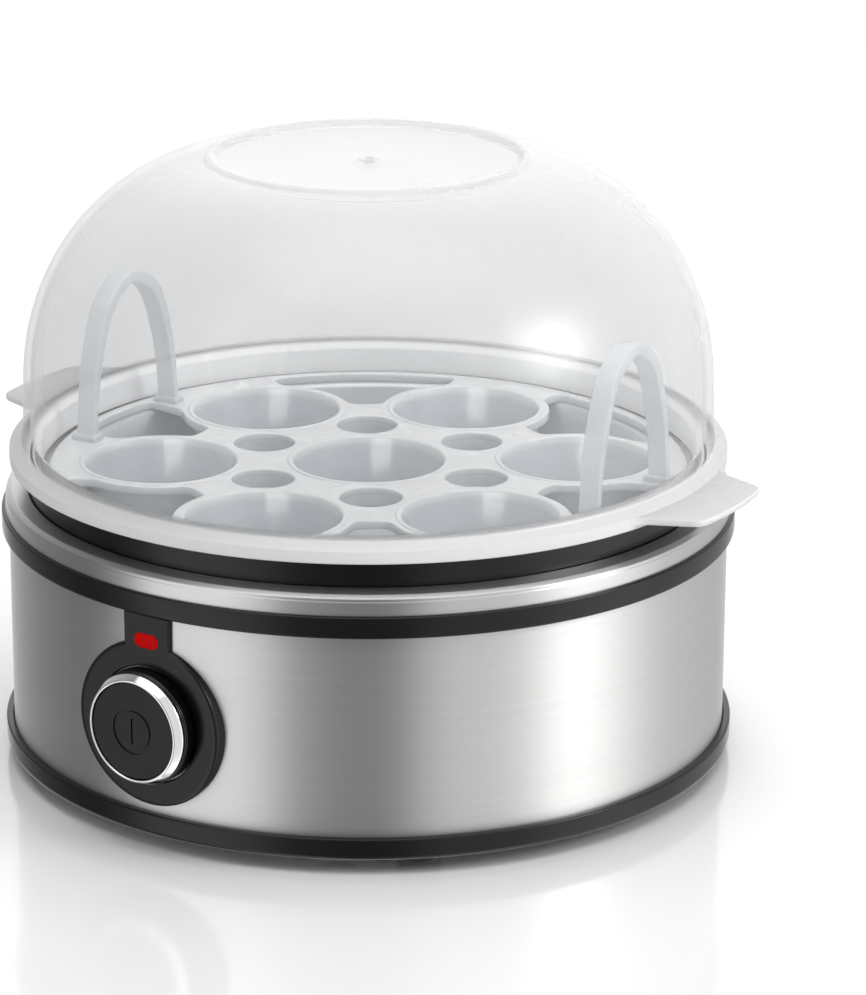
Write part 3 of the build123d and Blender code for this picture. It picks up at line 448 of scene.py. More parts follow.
def lens_plastic():
    """Clear red plastic over the lamp, with the fine ribs moulded on its inside."""
    plastic = Finish("lens_plastic", Specular_IOR_Level=0.04, Emission_Strength=0.26)
    spot = plastic.add("ShaderNodeTexCoord", output="Object")
    inputs = {"Vector": spot, "Scale": 330.0, "Distortion": 0.4}
    ribs = plastic.add("ShaderNodeTexWave", {"bands_direction": "X"}, inputs)
    tone = plastic.tint(ribs, colours().lens, 0.88, 1.16)
    return plastic.give(Base_Color=tone, Emission_Color=tone, Roughness=ribs * 0.06 + 0.10)


def plain_plastic(name, colour, roughness, grain=0.01):
    """A moulded plastic or rubber with a little unevenness in its tone and surface."""
    plastic = Finish(name)
    cloud = plastic.noise(120.0, 3.0)
    return plastic.give(
        Base_Color=plastic.tint(cloud, colour, 0.85, 1.15),
        Roughness=cloud * 0.12 + (roughness - 0.06),
        Normal=plastic.bump(plastic.noise(2600.0), grain, 0.4),
    )


def plain_metal(name, colour, roughness):
    """A plated, cast or drawn metal, slightly blotched."""
    metal = Finish(name, Metallic=1.0)
    cloud = metal.noise(180.0, 4.0, 0.6)
    return metal.give(
        Base_Color=metal.tint(cloud, colour, 0.8, 1.15),
        Roughness=cloud * 0.2 + (roughness - 0.1),
        Normal=metal.bump(metal.noise(1500.0), 0.01, 0.4),
    )


def floor_surface():
    """The pale studio floor, polished enough for a soft reflection."""
    floor = Finish("studio_floor", IOR=1.75)
    cloud = floor.noise(3.0)
    return floor.give(
        Base_Color=floor.tint(cloud, colours().floor, 0.995, 1.005),
        Roughness=cloud * 0.02 + 0.10,
    )


MAKERS = {
    "shell_steel": lambda: brushed_steel("shell_steel", colours().steel, 0.40, 0.10),
    "collar_steel": lambda: brushed_steel("collar_steel", colours().collar, 0.30, 0.05),
    "plate_steel": plate_steel,
    "black_plastic": black_plastic,
    "cap_plastic": cap_plastic,
    "chrome_trim": chrome,
    "clear_lid": lid_plastic,
    "tray_plastic": tray_plastic,
    "handle_plastic": handle_plastic,
    "red_lens": lens_plastic,
    "floor": floor_surface,
}

# The other finishes: how each is made, its colour, roughness and, for some, grain in millimetres
PLAIN = {
    "silicone": (plain_plastic, (0.42, 0.42, 0.40), 0.55),
    "foot_rubber": (plain_plastic, (0.012, 0.012, 0.012), 0.65, 0.02),
    "switch_plastic": (plain_plastic, (0.03, 0.03, 0.032), 0.45),
    "thermostat_resin": (plain_plastic, (0.10, 0.035, 0.015), 0.45),
    "fuse_sleeve": (plain_plastic, (0.68, 0.65, 0.55), 0.8, 0.08),
    "block_plastic": (plain_plastic, (0.70, 0.69, 0.63), 0.5),
    "wire_insulation": (plain_plastic, (0.66, 0.65, 0.60), 0.5),
    "lamp_glass": (plain_plastic, (0.75, 0.45, 0.28), 0.2),
    "element_steel": (plain_metal, (0.22, 0.20, 0.18), 0.45),
    "cast_aluminium": (plain_metal, (0.62, 0.62, 0.63), 0.5),
    "plated_steel": (plain_metal, (0.62, 0.62, 0.58), 0.35),
    "spring_steel": (plain_metal, (0.42, 0.42, 0.42), 0.3),
}

FINISHES = {}
COVERED = set()


def finish(name):
    """The finished material of that name, made the first time it is asked for."""
    if name not in FINISHES:
        if name in PLAIN:
            maker, *values = PLAIN[name]
            made = maker(name, *values)
        else:
            made = MAKERS[name]()
        FINISHES[name] = made.material
    return FINISHES[name]


def polar(radius, angle):
    """The point at a radius and an angle in degrees."""
    return (radius * cos(radians(angle)), radius * sin(radians(angle)))


def even_angles(count):
    """The whole turn in even steps."""
    return [360 * k / count for k in range(count)]


def circle(radius, centre=(0, 0), count=96):
    """A circle's points in plan."""
    spots = [polar(radius, angle) for angle in even_angles(count)]
    return [(centre[0] + x, centre[1] + y) for x, y in spots]


def rounded(corners, steps=6, closed=True):
    """An outline through (x, y, radius) corners, each rounded by about its radius."""
    points = []
    count = len(corners)
    for i, (x, y, radius) in enumerate(corners):
        here = Vector((x, y))
        if radius == 0 or (not closed and i in (0, count - 1)):
            points.append((x, y))
            continue
        back = Vector(corners[i - 1][:2]) - here
        ahead = Vector(corners[(i + 1) % count][:2]) - here
        turn = pi - back.angle(ahead)
        reach = min(radius * tan(turn / 2), 0.49 * back.length, 0.49 * ahead.length)
        start = here + back.normalized() * reach
        end = here + ahead.normalized() * reach
        for k in range(steps + 1):
            t = k / steps
            spot = start * (1 - t) ** 2 + here * 2 * t * (1 - t) + end * t**2
            points.append((spot.x, spot.y))
    return points


def soften(points, spacing, passes):
    """A closed outline resampled at even spacing and relaxed, which rounds its corners."""
    lengths = [0.0]
    ring = points + points[:1]
    for a, b in zip(ring, ring[1:]):
        lengths.append(lengths[-1] + hypot(b[0] - a[0], b[1] - a[1]))
    count = round(lengths[-1] / spacing)
    even = []
    i = 0
    for k in range(count):
        want = lengths[-1] * k / count
        while lengths[i + 1] < want:
            i += 1
        t = (want - lengths[i]) / (lengths[i + 1] - lengths[i])
        even.append([ring[i][axis] + t * (ring[i + 1][axis] - ring[i][axis]) for axis in (0, 1)])
    for _ in range(passes):
        neighbours = zip(even[-1:] + even[:-1], even, even[1:] + even[:1])
        even = [
            [(back[axis] + 2 * here[axis] + ahead[axis]) / 4 for axis in (0, 1)]
            for back, here, ahead in neighbours
        ]
    return even


def vertex(bm, x, y, z):
    """A new vertex of a bmesh, placed in millimetres."""
    return bm.verts.new((x * MM, y * MM, z * MM))


def join(bm, rings, whole=True, closed=True):
    """Faces between each ring of vertices and the next, and from the last to the first if whole.

    Unless they are closed, the rings are open rows.
    """
    for ring, after in zip(rings, rings[1:] + rings[:1] if whole else rings[1:]):
        for i in range(len(ring) if closed else len(ring) - 1):
            j = (i + 1) % len(ring)
            bm.faces.new((ring[i], after[i], after[j], ring[j]))


def add_turned(bm, profile, centre=(0, 0), angles=None, closed=True, whole=True, swell=None):
    """Turn a profile of (radius, height, share) around an upright axis, in millimetres.

    The share, if a point has one, is how far it follows the outline that swell gives for an
    angle. The profile is a closed one, and the turn is a whole one, unless told otherwise.
    """
    rings = []
    for angle in angles or even_angles(sizes().roundness):
        ring = []
        for radius, height, *share in profile:
            x, y = polar(radius + share[0] * swell(angle) if share else radius, angle)
            ring.append(vertex(bm, centre[0] + x, centre[1] + y, height))
        rings.append(ring)
    join(bm, rings, whole, closed)
    return bm


def filled(outlines, half, edge):
    """A flat plate in the level plane, its outlines in millimetres, with rounded edges."""
    curve = bpy.data.curves.new("outline", "CURVE")
    curve.dimensions = "2D"
    curve.fill_mode = "BOTH"
    curve.extrude = (half - edge) * MM
    curve.bevel_depth = edge * MM
    curve.offset = -edge * MM
    curve.bevel_resolution = 3
    for points in outlines:
        spline = curve.splines.new("POLY")
        spline.points.add(len(points) - 1)
        for target, (x, y) in zip(spline.points, points):
            target.co = (x * MM, y * MM, 0, 1)
        spline.use_cyclic_u = True
    maker = bpy.data.objects.new("outline", curve)
    mesh = bpy.data.meshes.new_from_object(maker)
    bm = bmesh.new()
    bm.from_mesh(mesh)
    bpy.data.objects.remove(maker)
    bpy.data.curves.remove(curve)
    bpy.data.meshes.remove(mesh)
    return bm


def piece(name, bm, slot, body, nodes=(), sharp=32.0, matrix=None):
    """Finish a bmesh as a shown piece: its object, smooth shading, material, body and nodes."""
    bmesh.ops.remove_doubles(bm, verts=bm.verts, dist=1e-7)
    bmesh.ops.dissolve_degenerate(bm, edges=bm.edges, dist=1e-8)
    bmesh.ops.recalc_face_normals(bm, faces=bm.faces)
    mesh = bpy.data.meshes.new(name)
    bm.to_mesh(mesh)
    bm.free()
    if matrix is not None:
        mesh.transform(matrix)
    mesh.shade_smooth()
    mesh.set_sharp_from_angle(angle=radians(sharp))
    shown = bpy.data.objects.new(name, mesh)
    bpy.context.scene.collection.objects.link(shown)
    mesh.materials.append(finish(slot))
    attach(shown, body)
    if nodes:
        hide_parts(*nodes)
        COVERED.update(nodes)


def dress(*nodes):
    """Give nodes that stay shown the material of their slot in the record."""
    slots = {row["node"]: row["material_slot"] for row in frame["record"]["subparts"]}
    for node in nodes:
        shown = frame["nodes"][node]
        shown.data.materials.clear()
        shown.data.materials.append(finish(slots[node]))
        shown.data.shade_smooth()
        shown.data.set_sharp_from_angle(angle=radians(30))
    COVERED.update(nodes)


class PieceOperator(Operator):
    """What the operators of this file share."""

    bl_options = {"REGISTER", "UNDO"}

    def execute(self, context):
        self.make()
        return {"FINISHED"}


# The lid

dome_centre = Vector((35.0, 95.7))
dome_half_width = 50.6
dome_rise = 55.6
lid_wall = 1.8
lid_foot_radius = 86.1
flange_radius = 89.5
flange_top = 80.4
flange_fall = 1.3
rim_bottom = neck_top - 1.2
rim_thickness = 1.4
lip_radius = 83.0
lip_thickness = 1.4
lip_bottom = 72.7
lip_root = 79.2
foot_inside = 82.2
bead_radius = 39.0
crown_floor = 150.2
nub_radius = 1.2
nub_top = crown_floor + 0.5
tab_angle = 3.6
tab_reach = high("lid").x
tab_tip_angle = 8.6
tab_root_angle = 13.5
tab_root = flange_radius + 0.12
tab_top = 79.0
# How far down from a tab's face, and with what share of its reach, its edge is rounded
tab_edge = [(0.0, 0.95), (0.15, 0.985), (0.55, 1.0)]


def dome_points(inset, from_radius, steps=56):
    """The dome's curve, a quarter of an ellipse, from a radius near the axis down to its wall."""
    width = dome_half_width - inset
    rise = dome_rise - inset
    start = asin((from_radius - dome_centre.x) / width)
    points = []
    for k in range(steps + 1):
        angle = start + (pi / 2 - start) * k / steps
        points.append((dome_centre.x + width * sin(angle), dome_centre.y + rise * cos(angle)))
    return points


def tab_outline():
    """Half of a tab in plan, as (angle from its middle, reach beyond the flange)."""
    corners = [(*polar(tab_reach, angle), 0) for angle in (0, 2, 4, 6)]
    corners += [(*polar(tab_reach, tab_tip_angle), 4.5), (*polar(tab_root, tab_root_angle), 7.0)]
    corners += [(*polar(tab_root, tab_root_angle + 4.5), 0)]
    outline = rounded(corners, steps=10, closed=False)
    return [(degrees(atan2(y, x)), max(hypot(x, y) - tab_root, 0)) for x, y in outline]


def lid_angles(outline):
    """The angles of the lid's grid: the tabs' own points, and even steps between the tabs."""
    half = [angle for angle, _ in outline]
    span = 180 - 2 * half[-1]
    steps = round(span / 360 * sizes().roundness)
    angles = []
    for middle in (tab_angle, tab_angle + 180):
        angles += [middle - angle for angle in reversed(half[1:])]
        angles += [middle + angle for angle in half]
        angles += [middle + half[-1] + span * k / steps for k in range(1, steps)]
    return angles


def outer_lid():
    """The lid's profile from the gate's nub on the crown, over the dome, down to the flange."""
    dome = dome_points(0, bead_radius + 1.6)
    crown = rounded([
        (nub_radius, crown_floor - lid_wall, 0.2),
        (nub_radius, nub_top, 0.2),
        (2 * nub_radius, nub_top, 0.3),
        (2 * nub_radius + 0.5, crown_floor, 0.4),
        (bead_radius - 2.0, crown_floor, 1.2),
        (bead_radius - 1.0, lid_top - 0.3, 0.6),
        (bead_radius, lid_top, 0.8),
        (bead_radius + 0.9, lid_top - 0.35, 0.8),
        (*dome[0], 0.8),
        (*dome[1], 0),
    ], closed=False)
    foot = rounded([
        (*dome[-1], 0),
        (lid_foot_radius, flange_top + 2.6, 1.5),
        (lid_foot_radius + 0.4, flange_top + 0.2, 0.9),
        (flange_radius, flange_top - flange_fall, 0.5),
        (flange_radius, tab_top, 0),
    ], closed=False)
    return crown + dome[2:] + foot[1:]


def inner_lid():
    """The lid's profile from the rim under the flange, around the lip, up inside the dome."""
    dome = dome_points(lid_wall, bead_radius)
    lip_inner = lip_radius - lip_thickness
    foot = rounded([
        (flange_radius, neck_top - 0.1, 0),
        (flange_radius, rim_bottom, 0.5),
        (flange_radius - rim_thickness, rim_bottom, 0.5),
        (flange_radius - rim_thickness - 0.1, neck_top, 0.3),
        (lip_radius, neck_top, 0.5),
        (lip_radius, lip_bottom, 0.4),
        (lip_inner, lip_bottom, 0.4),
        (lip_inner, lip_root, 1.0),
        (lid_foot_radius - lid_wall, foot_inside, 1.5),
        (*dome[-1], 0),
    ], closed=False)
    return foot + dome[-2::-1] + [(bead_radius - 2.6, crown_floor - lid_wall)]


class EGGCOOKER_OT_lid(PieceOperator):
    """The domed lid with its crown, flange, lip and two lifting tabs"""

    bl_idname = "egg_cooker.lid"
    bl_label = "Lid"

    def make(self):
        outline = tab_outline()

        def swell(angle):
            middles = (tab_angle, tab_angle + 180)
            aside = min(abs((angle - middle + 180) % 360 - 180) for middle in middles)
            reach = outline[-1][1]
            for (near, inside), (far, outside) in zip(outline, outline[1:]):
                if near <= aside <= far + 1e-9:
                    reach = inside + (outside - inside) * (aside - near) / (far - near)
            return reach

        tab = [(flange_radius, tab_top - down, share) for down, share in tab_edge]
        tab += [(flange_radius, neck_top + up, share) for up, share in reversed(tab_edge)]
        profile = outer_lid() + tab + [(flange_radius, neck_top)] + inner_lid()
        bm = add_turned(bmesh.new(), profile, angles=lid_angles(outline), swell=swell)
        piece("lid_dome", bm, "clear_lid", "lid", ["lid"], sharp=40)


# The egg tray and its handles

cup_circle = 52.0
cup_radius = 18.9
cup_foot_radius = 15.2
cup_rim_radius = 21.9
cup_rim_rise = 0.28
steam_circle = 30.4
steam_radius = 7.7
steam_depth = 2.4
gap_tip_radius = 49.0
gap_middle = 66.0
first_gap = 6.0
ring_width = 2.6
tray_thickness = 2.2
gap_half_angle = 18.5
handle_gap_half_angle = 13.0
handle_circle = 71.0
handle_spread = 19.5
handle_strip = 2.2
handle_width = 5.2
handle_knee = 82.0
handle_lean = 0.7
# Points of a handle's outline: how far aside, and how far below its top
handle_bend = (16.4, 14.5)
handle_shoulder = (13.0, 6.9)
handle_turn = (8.5, 2.8)
handle_crown = 2.6
gate_circle = 43.5
gate_radius = 1.1
gate_rise = 0.12
first_gate = 65.1


def gap_outline(half_angle):
    """One opening between two cups and the ring, on the +X side: rays out to its borders."""
    cups = [polar(cup_circle, side) for side in (30, -30)]

    def inside(x, y):
        if not gap_tip_radius < hypot(x, y) < tray_radius - ring_width:
            return False
        if abs(degrees(atan2(y, x))) > half_angle:
            return False
        return all(hypot(x - cx, y - cy) > cup_rim_radius for cx, cy in cups)

    outline = []
    for k in range(360):
        dx, dy = polar(1, k)
        near, far = 0.0, 40.0
        for _ in range(20):
            middle = (near + far) / 2
            if inside(gap_middle + dx * middle, dy * middle):
                near = middle
            else:
                far = middle
        outline.append((gap_middle + dx * near, dy * near))
    spacing = 0.5
    return soften(outline, spacing, round((sizes().gap_corner / MM / spacing) ** 2))


def turn_points(points, angle):
    """Points in plan turned about the axis."""
    c, s = polar(1, angle)
    return [(x * c - y * s, x * s + y * c) for x, y in points]


class EGGCOOKER_OT_tray(PieceOperator):
    """The seven-hole tray: plate, funnelled cups with rolled rims, steam holes and openings"""

    bl_idname = "egg_cooker.tray"
    bl_label = "Egg tray"

    def make(self):
        outlines = [circle(tray_radius, count=sizes().roundness)]
        centres = [(0, 0)] + [polar(cup_circle, first_gap + 30 + 60 * k) for k in range(6)]
        outlines += [circle(cup_radius + 0.8, centre) for centre in centres]
        for k in range(6):
            angle = first_gap + 60 * k
            half = handle_gap_half_angle if k % 3 == 0 else gap_half_angle
            outlines.append(turn_points(gap_outline(half), angle))
            outlines.append(circle(steam_radius, polar(steam_circle, angle), 56))
        bm = filled(outlines, tray_thickness / 2, sizes().tray_edge / MM)
        middle = tray_top - tray_thickness / 2
        bmesh.ops.translate(bm, vec=(0, 0, middle * MM), verts=bm.verts)
        rim = cup_radius + 1.5
        under = tray_top - tray_thickness
        cup = rounded([
            (rim, tray_top - 0.5, 0),
            (rim, tray_top + cup_rim_rise, 0.5),
            (cup_radius + 0.1, tray_top + cup_rim_rise, 0.9),
            (cup_radius - 0.5, tray_top - 1.6, 2.0),
            (cup_foot_radius, tray_foot, 0.4),
            (cup_foot_radius + 1.5, tray_foot, 0.6),
            (rim - 0.2, under, 2.0),
        ])
        for centre in centres:
            add_turned(bm, cup, centre, even_angles(120))
        collar = [
            (steam_radius + 0.9, under + 0.3),
            (steam_radius - 0.1, under + 0.3),
            (steam_radius - 0.6, under - steam_depth),
            (steam_radius + 0.4, under - steam_depth),
        ]
        for k in range(6):
            add_turned(bm, collar, polar(steam_circle, first_gap + 60 * k), even_angles(60))
        gate_top = tray_top + gate_rise
        gate = [(gate_radius, tray_top - 0.4, 0), (gate_radius, gate_top, 0.3), (0.0, gate_top, 0)]
        gate = rounded(gate, closed=False)
        for k in range(3):
            spot = polar(gate_circle, first_gate + 120 * k)
            add_turned(bm, gate, spot, even_angles(24), closed=False)
        piece("tray_moulding", bm, "tray_plastic", "tray", ["egg_tray"])


def arc(start, through, end, steps=24):
    """Points on the circle through three points, from the first to the last."""
    (ax, ay), (bx, by), (cx, cy) = start, through, end
    d = 2 * (ax * (by - cy) + bx * (cy - ay) + cx * (ay - by))
    a, b, c = ax**2 + ay**2, bx**2 + by**2, cx**2 + cy**2
    x = (a * (by - cy) + b * (cy - ay) + c * (ay - by)) / d
    y = (a * (cx - bx) + b * (ax - cx) + c * (bx - ax)) / d
    first, last = atan2(ay - y, ax - x), atan2(cy - y, cx - x)
    radius = hypot(ax - x, ay - y)
    angles = [first + (last - first) * k / steps for k in range(steps + 1)]
    return [(x + radius * cos(angle), y + radius * sin(angle)) for angle in angles]


def arch_side(inset, top):
    """One side of a handle's arch, from its foot up to the top, this far inside the outline."""
    leg = handle_spread + handle_strip / 2 - inset
    shoulder, turn, bend = (
        (x - inset, top - down) for x, down in (handle_shoulder, handle_turn, handle_bend)
    )
    points = [(leg, tray_top - tray_thickness + 0.1), (leg, tray_top + 1.6)]
    points += arc((leg - handle_lean, handle_knee), bend, shoulder)
    return points + arc(shoulder, turn, (0, top))[1:]


def arch_points():
    """The outline of a handle seen from the axis: over the outside, and back along the inside."""
    outer = arch_side(0, handle_top)
    inner = arch_side(handle_strip, handle_top - handle_crown)
    over = outer + [(-x, z) for x, z in reversed(outer[:-1])]
    back = [(-x, z) for x, z in inner] + list(reversed(inner[:-1]))
    return soften(over + back, 0.4, 8)


def add_shoulder(bm, along):
    """The small tapered foot where a handle's leg stands on the tray, along its own Y."""
    half_width = handle_width / 2 + 1.0
    half_strip = handle_strip / 2 + 1.2
    rings = []
    for height, inset in [(0.0, 0.0), (0.9, 0.0), (1.35, 0.25), (1.6, 0.75)]:
        corners = [
            (sx * (half_width - inset), along + sy * (half_strip - inset), 0.7)
            for sx, sy in ((-1, -1), (1, -1), (1, 1), (-1, 1))
        ]
        outline = rounded(corners, steps=4)
        rings.append([vertex(bm, handle_circle + x, y, tray_top + height) for x, y in outline])
    join(bm, rings, whole=False)
    bm.faces.new(rings[-1])
    bm.faces.new(reversed(rings[0]))


class EGGCOOKER_OT_handles(PieceOperator):
    """The two arched handles that stand on the tray"""

    bl_idname = "egg_cooker.handles"
    bl_label = "Tray handles"

    def make(self):
        stand = Matrix(((0, 0, 1, handle_circle * MM), (1, 0, 0, 0), (0, 1, 0, 0), (0, 0, 0, 1)))
        for side, angle in (("right", first_gap), ("left", first_gap + 180)):
            bm = filled([arch_points()], handle_width / 2, sizes().handle_edge / MM)
            bmesh.ops.transform(bm, matrix=stand, verts=bm.verts)
            add_shoulder(bm, handle_spread)
            add_shoulder(bm, -handle_spread)
            name, node = f"handle_{side}_arch", f"tray_handle_{side}"
            turn = Matrix.Rotation(radians(angle), 4, "Z")
            piece(name, bm, "handle_plastic", "tray", [node], matrix=turn)


# The body

band_bottom = 58.6
band_top = collar_bottom
collar_wall = high("steel_collar").x
collar_crease = 67.1
collar_bead = 89.2
collar_rise = 0.4
neck_radius = 85.0
neck_bore = 83.3
neck_foot = 67.6
slope_radius = 88.4
slope_foot = 65.4
ledge_top = 69.2
ledge_bore = 79.6
housing_bore = 87.2
housing_bottom = 55.0
shell_stop = 62.0
post_circle = 79.0
post_radii = (1.55, 3.6)
post_bottom = 8.2
sheet = 0.8
shell_inner = shell_radius - 0.9
arch_half_width = 10.0
arch_top = 24.0


class EGGCOOKER_OT_housing(PieceOperator):
    """The black upper moulding and the pressed steel collar on it"""

    bl_idname = "egg_cooker.housing"
    bl_label = "Upper housing and collar"

    def make(self):
        bm = add_turned(bmesh.new(), rounded([
            (neck_bore, neck_top, 0.5),
            (neck_radius, neck_top, 0.6),
            (neck_radius, neck_foot, 0.3),
            (slope_radius, slope_foot, 0.3),
            (slope_radius + 1.0, band_top, 0.2),
            (band_radius, band_top, 0.6),
            (band_radius, band_bottom, 0.7),
            (shell_radius + 0.1, band_bottom, 0.1),
            (shell_radius + 0.1, shell_stop, 0.1),
            (shell_inner, shell_stop, 0.1),
            (shell_inner, housing_bottom, 0.2),
            (housing_bore, housing_bottom, 0.2),
            (housing_bore, shell_stop - 0.6, 0.5),
            (83.0, ledge_top - 3.0, 0.5),
            (ledge_bore, ledge_top - 2.2, 0.3),
            (ledge_bore, ledge_top, 0.1),
            (neck_bore, ledge_top, 0.3),
        ]))
        inner, outer = post_radii
        post = [(inner, post_bottom), (outer, post_bottom), (outer, neck_foot), (inner, neck_foot)]
        for turn in (60, 120, 240, 300):
            add_turned(bm, post, polar(post_circle, turn), even_angles(36))
        piece("housing_moulding", bm, "black_plastic", "root", ["upper_housing"])
        rise = collar_top + collar_rise
        bm = add_turned(bmesh.new(), rounded([
            (collar_wall, collar_bottom, 0.1),
            (collar_wall, collar_bottom + 0.5, 0.6),
            (collar_wall - 0.15, collar_crease, 0.5),
            (collar_wall - 0.35, collar_crease + 0.3, 0.3),
            (collar_wall - 0.4, collar_crease + 0.9, 0.6),
            (collar_bead, collar_top - 0.05, 0.8),
            (neck_radius + 0.5, rise, 0.3),
            (neck_radius + 0.1, rise - 0.4, 0.3),
            (neck_radius + 0.1, collar_top - 0.8, 0.1),
            (collar_bead - 0.6, collar_top - 0.9, 0.4),
            (collar_wall - 1.5, collar_crease, 0.5),
            (collar_wall - sheet, collar_bottom + 2.0, 0.5),
            (collar_wall - sheet, collar_bottom, 0.1),
        ], steps=8))
        piece("collar_pressing", bm, "collar_steel", "root", ["steel_collar"])


def around_notch(radius, half_width):
    """Angles in even steps from one side of the notch at the back around to the other."""
    notch = degrees(asin(half_width / radius))
    steps = sizes().roundness
    return [90 + notch + (360 - 2 * notch) * k / steps for k in range(steps + 1)]


class EGGCOOKER_OT_shell(PieceOperator):
    """The brushed steel wall, notched for the cord entry"""

    bl_idname = "egg_cooker.shell"
    bl_label = "Steel shell"

    def make(self):
        bottom = low("outer_shell").z
        top = high("outer_shell").z
        beside = [bottom, bottom + 0.2, arch_top + 0.1]
        above = [arch_top + 0.1, 40.0, 55.0, top - 0.2, top]
        clear = around_notch(shell_radius, arch_half_width + 0.1)
        notch = clear[0] - 90
        across = [90 - notch + 2 * notch * k / 12 for k in range(13)]
        inner = shell_radius - sheet
        bm = bmesh.new()
        for angles, rows in ((clear, beside + above[1:]), (across, above)):
            wall = [(shell_radius, z) for z in rows] + [(inner, z) for z in reversed(rows)]
            add_turned(bm, wall, angles=angles, whole=False)
        for angle in (clear[0], clear[-1]):
            ends = [polar(radius, angle) for radius in (shell_radius, inner)]
            rows = [[vertex(bm, *end, z) for end in ends] for z in beside]
            join(bm, rows, whole=False, closed=False)
        piece("shell_wall", bm, "shell_steel", "root", ["outer_shell"])


base_top = 8.9
shell_seat = 6.0
base_inner_top = 14.0
cover_seat = 7.2
cover_lip = 84.6
cover_stop = 5.2
gland_height = 14.0
gland_half = 6.0
foot_circle = 80.8
foot_spread = 43.6


class EGGCOOKER_OT_base(PieceOperator):
    """The base ring, the feet, and the finishes of the cover, its screws and the cord gland"""

    bl_idname = "egg_cooker.base"
    bl_label = "Base"

    def make(self):
        bottom = low("base_ring").z
        cover_bore = cover_radius + 0.3
        profile = rounded([
            (base_radius - 0.5, bottom, 1.0),
            (base_radius, bottom + 1.0, 0.8),
            (base_radius, base_top - 0.4, 0.5),
            (base_radius - 0.35, base_top, 0.4),
            (shell_radius + 0.3, base_top, 0.3),
            (shell_radius + 0.1, base_top - 0.5, 0.1),
            (shell_radius + 0.1, shell_seat, 0.1),
            (shell_inner, shell_seat, 0.1),
            (shell_inner, base_inner_top, 0.2),
            (cover_bore, base_inner_top, 0.2),
            (cover_bore, cover_seat, 0.1),
            (cover_lip, cover_seat, 0.1),
            (cover_lip, cover_stop, 0.1),
            (cover_bore, cover_stop, 0.1),
            (cover_bore, bottom, 0.1),
        ])
        angles = around_notch(base_radius, arch_half_width)
        bm = add_turned(bmesh.new(), profile, angles=angles, whole=False)
        self.add_arch(bm, bottom, (base_radius + cover_bore) / 2)
        piece("base_moulding", bm, "black_plastic", "root", ["base_ring"])
        self.feet()
        dress("bottom_cover", "housing_screws", "cord_gland")

    def add_arch(self, bm, bottom, middle):
        """The rounded block around the cord entry, with the square window for the gland."""
        half = arch_half_width
        block = [(-half, bottom, 0), (half, bottom, 0), (half, arch_top, 4), (-half, arch_top, 4)]
        window = [
            (x * gland_half, gland_height + z * gland_half, 1.5)
            for x, z in ((-1, -1), (1, -1), (1, 1), (-1, 1))
        ]
        block = filled([rounded(block), rounded(window)], 2.3, 0.5)
        for vert in block.verts:
            x, z, depth = vert.co
            radius = middle * MM + depth
            vert.co = (x, sqrt(radius**2 - x**2), z)
        mesh = bpy.data.meshes.new("arch")
        block.to_mesh(mesh)
        block.free()
        bm.from_mesh(mesh)
        bpy.data.meshes.remove(mesh)

    def feet(self):
        """Four feet, moulded with a slightly dished sole and a stem through the cover."""
        foot = rounded([
            (0.0, 0.35, 0),
            (3.6, 0.35, 0.3),
            (4.1, 0.0, 0.2),
            (5.0, 0.0, 0.6),
            (5.6, 3.2, 0.3),
            (2.5, 3.2, 0),
            (2.5, 5.2, 0),
            (3.1, 5.2, 0.1),
            (2.1, 7.0, 0.3),
            (0.0, 7.0, 0),
        ], closed=False)
        bm = bmesh.new()
        for front in (270, 90):
            for angle in (front - foot_spread, front + foot_spread):
                add_turned(bm, foot, polar(foot_circle, angle), even_angles(48), closed=False)
        piece("feet", bm, "foot_rubber", "root", ["rubber_feet"])


# The switch

panel_radius = 20.5
neck_half_width = 6.6
button_bore = 14.35
button_radius = 14.05
button_inner = button_radius - 1.4
button_back = 84.0
chrome_radius = 13.75
cap_radius = 12.0
stem_radii = (3.6, 1.7)


def wrapped(bm, x, z, radius):
    """A vertex seen from the front, put on the cylinder of that radius."""
    return vertex(bm, x, -sqrt(radius**2 - x**2), z)


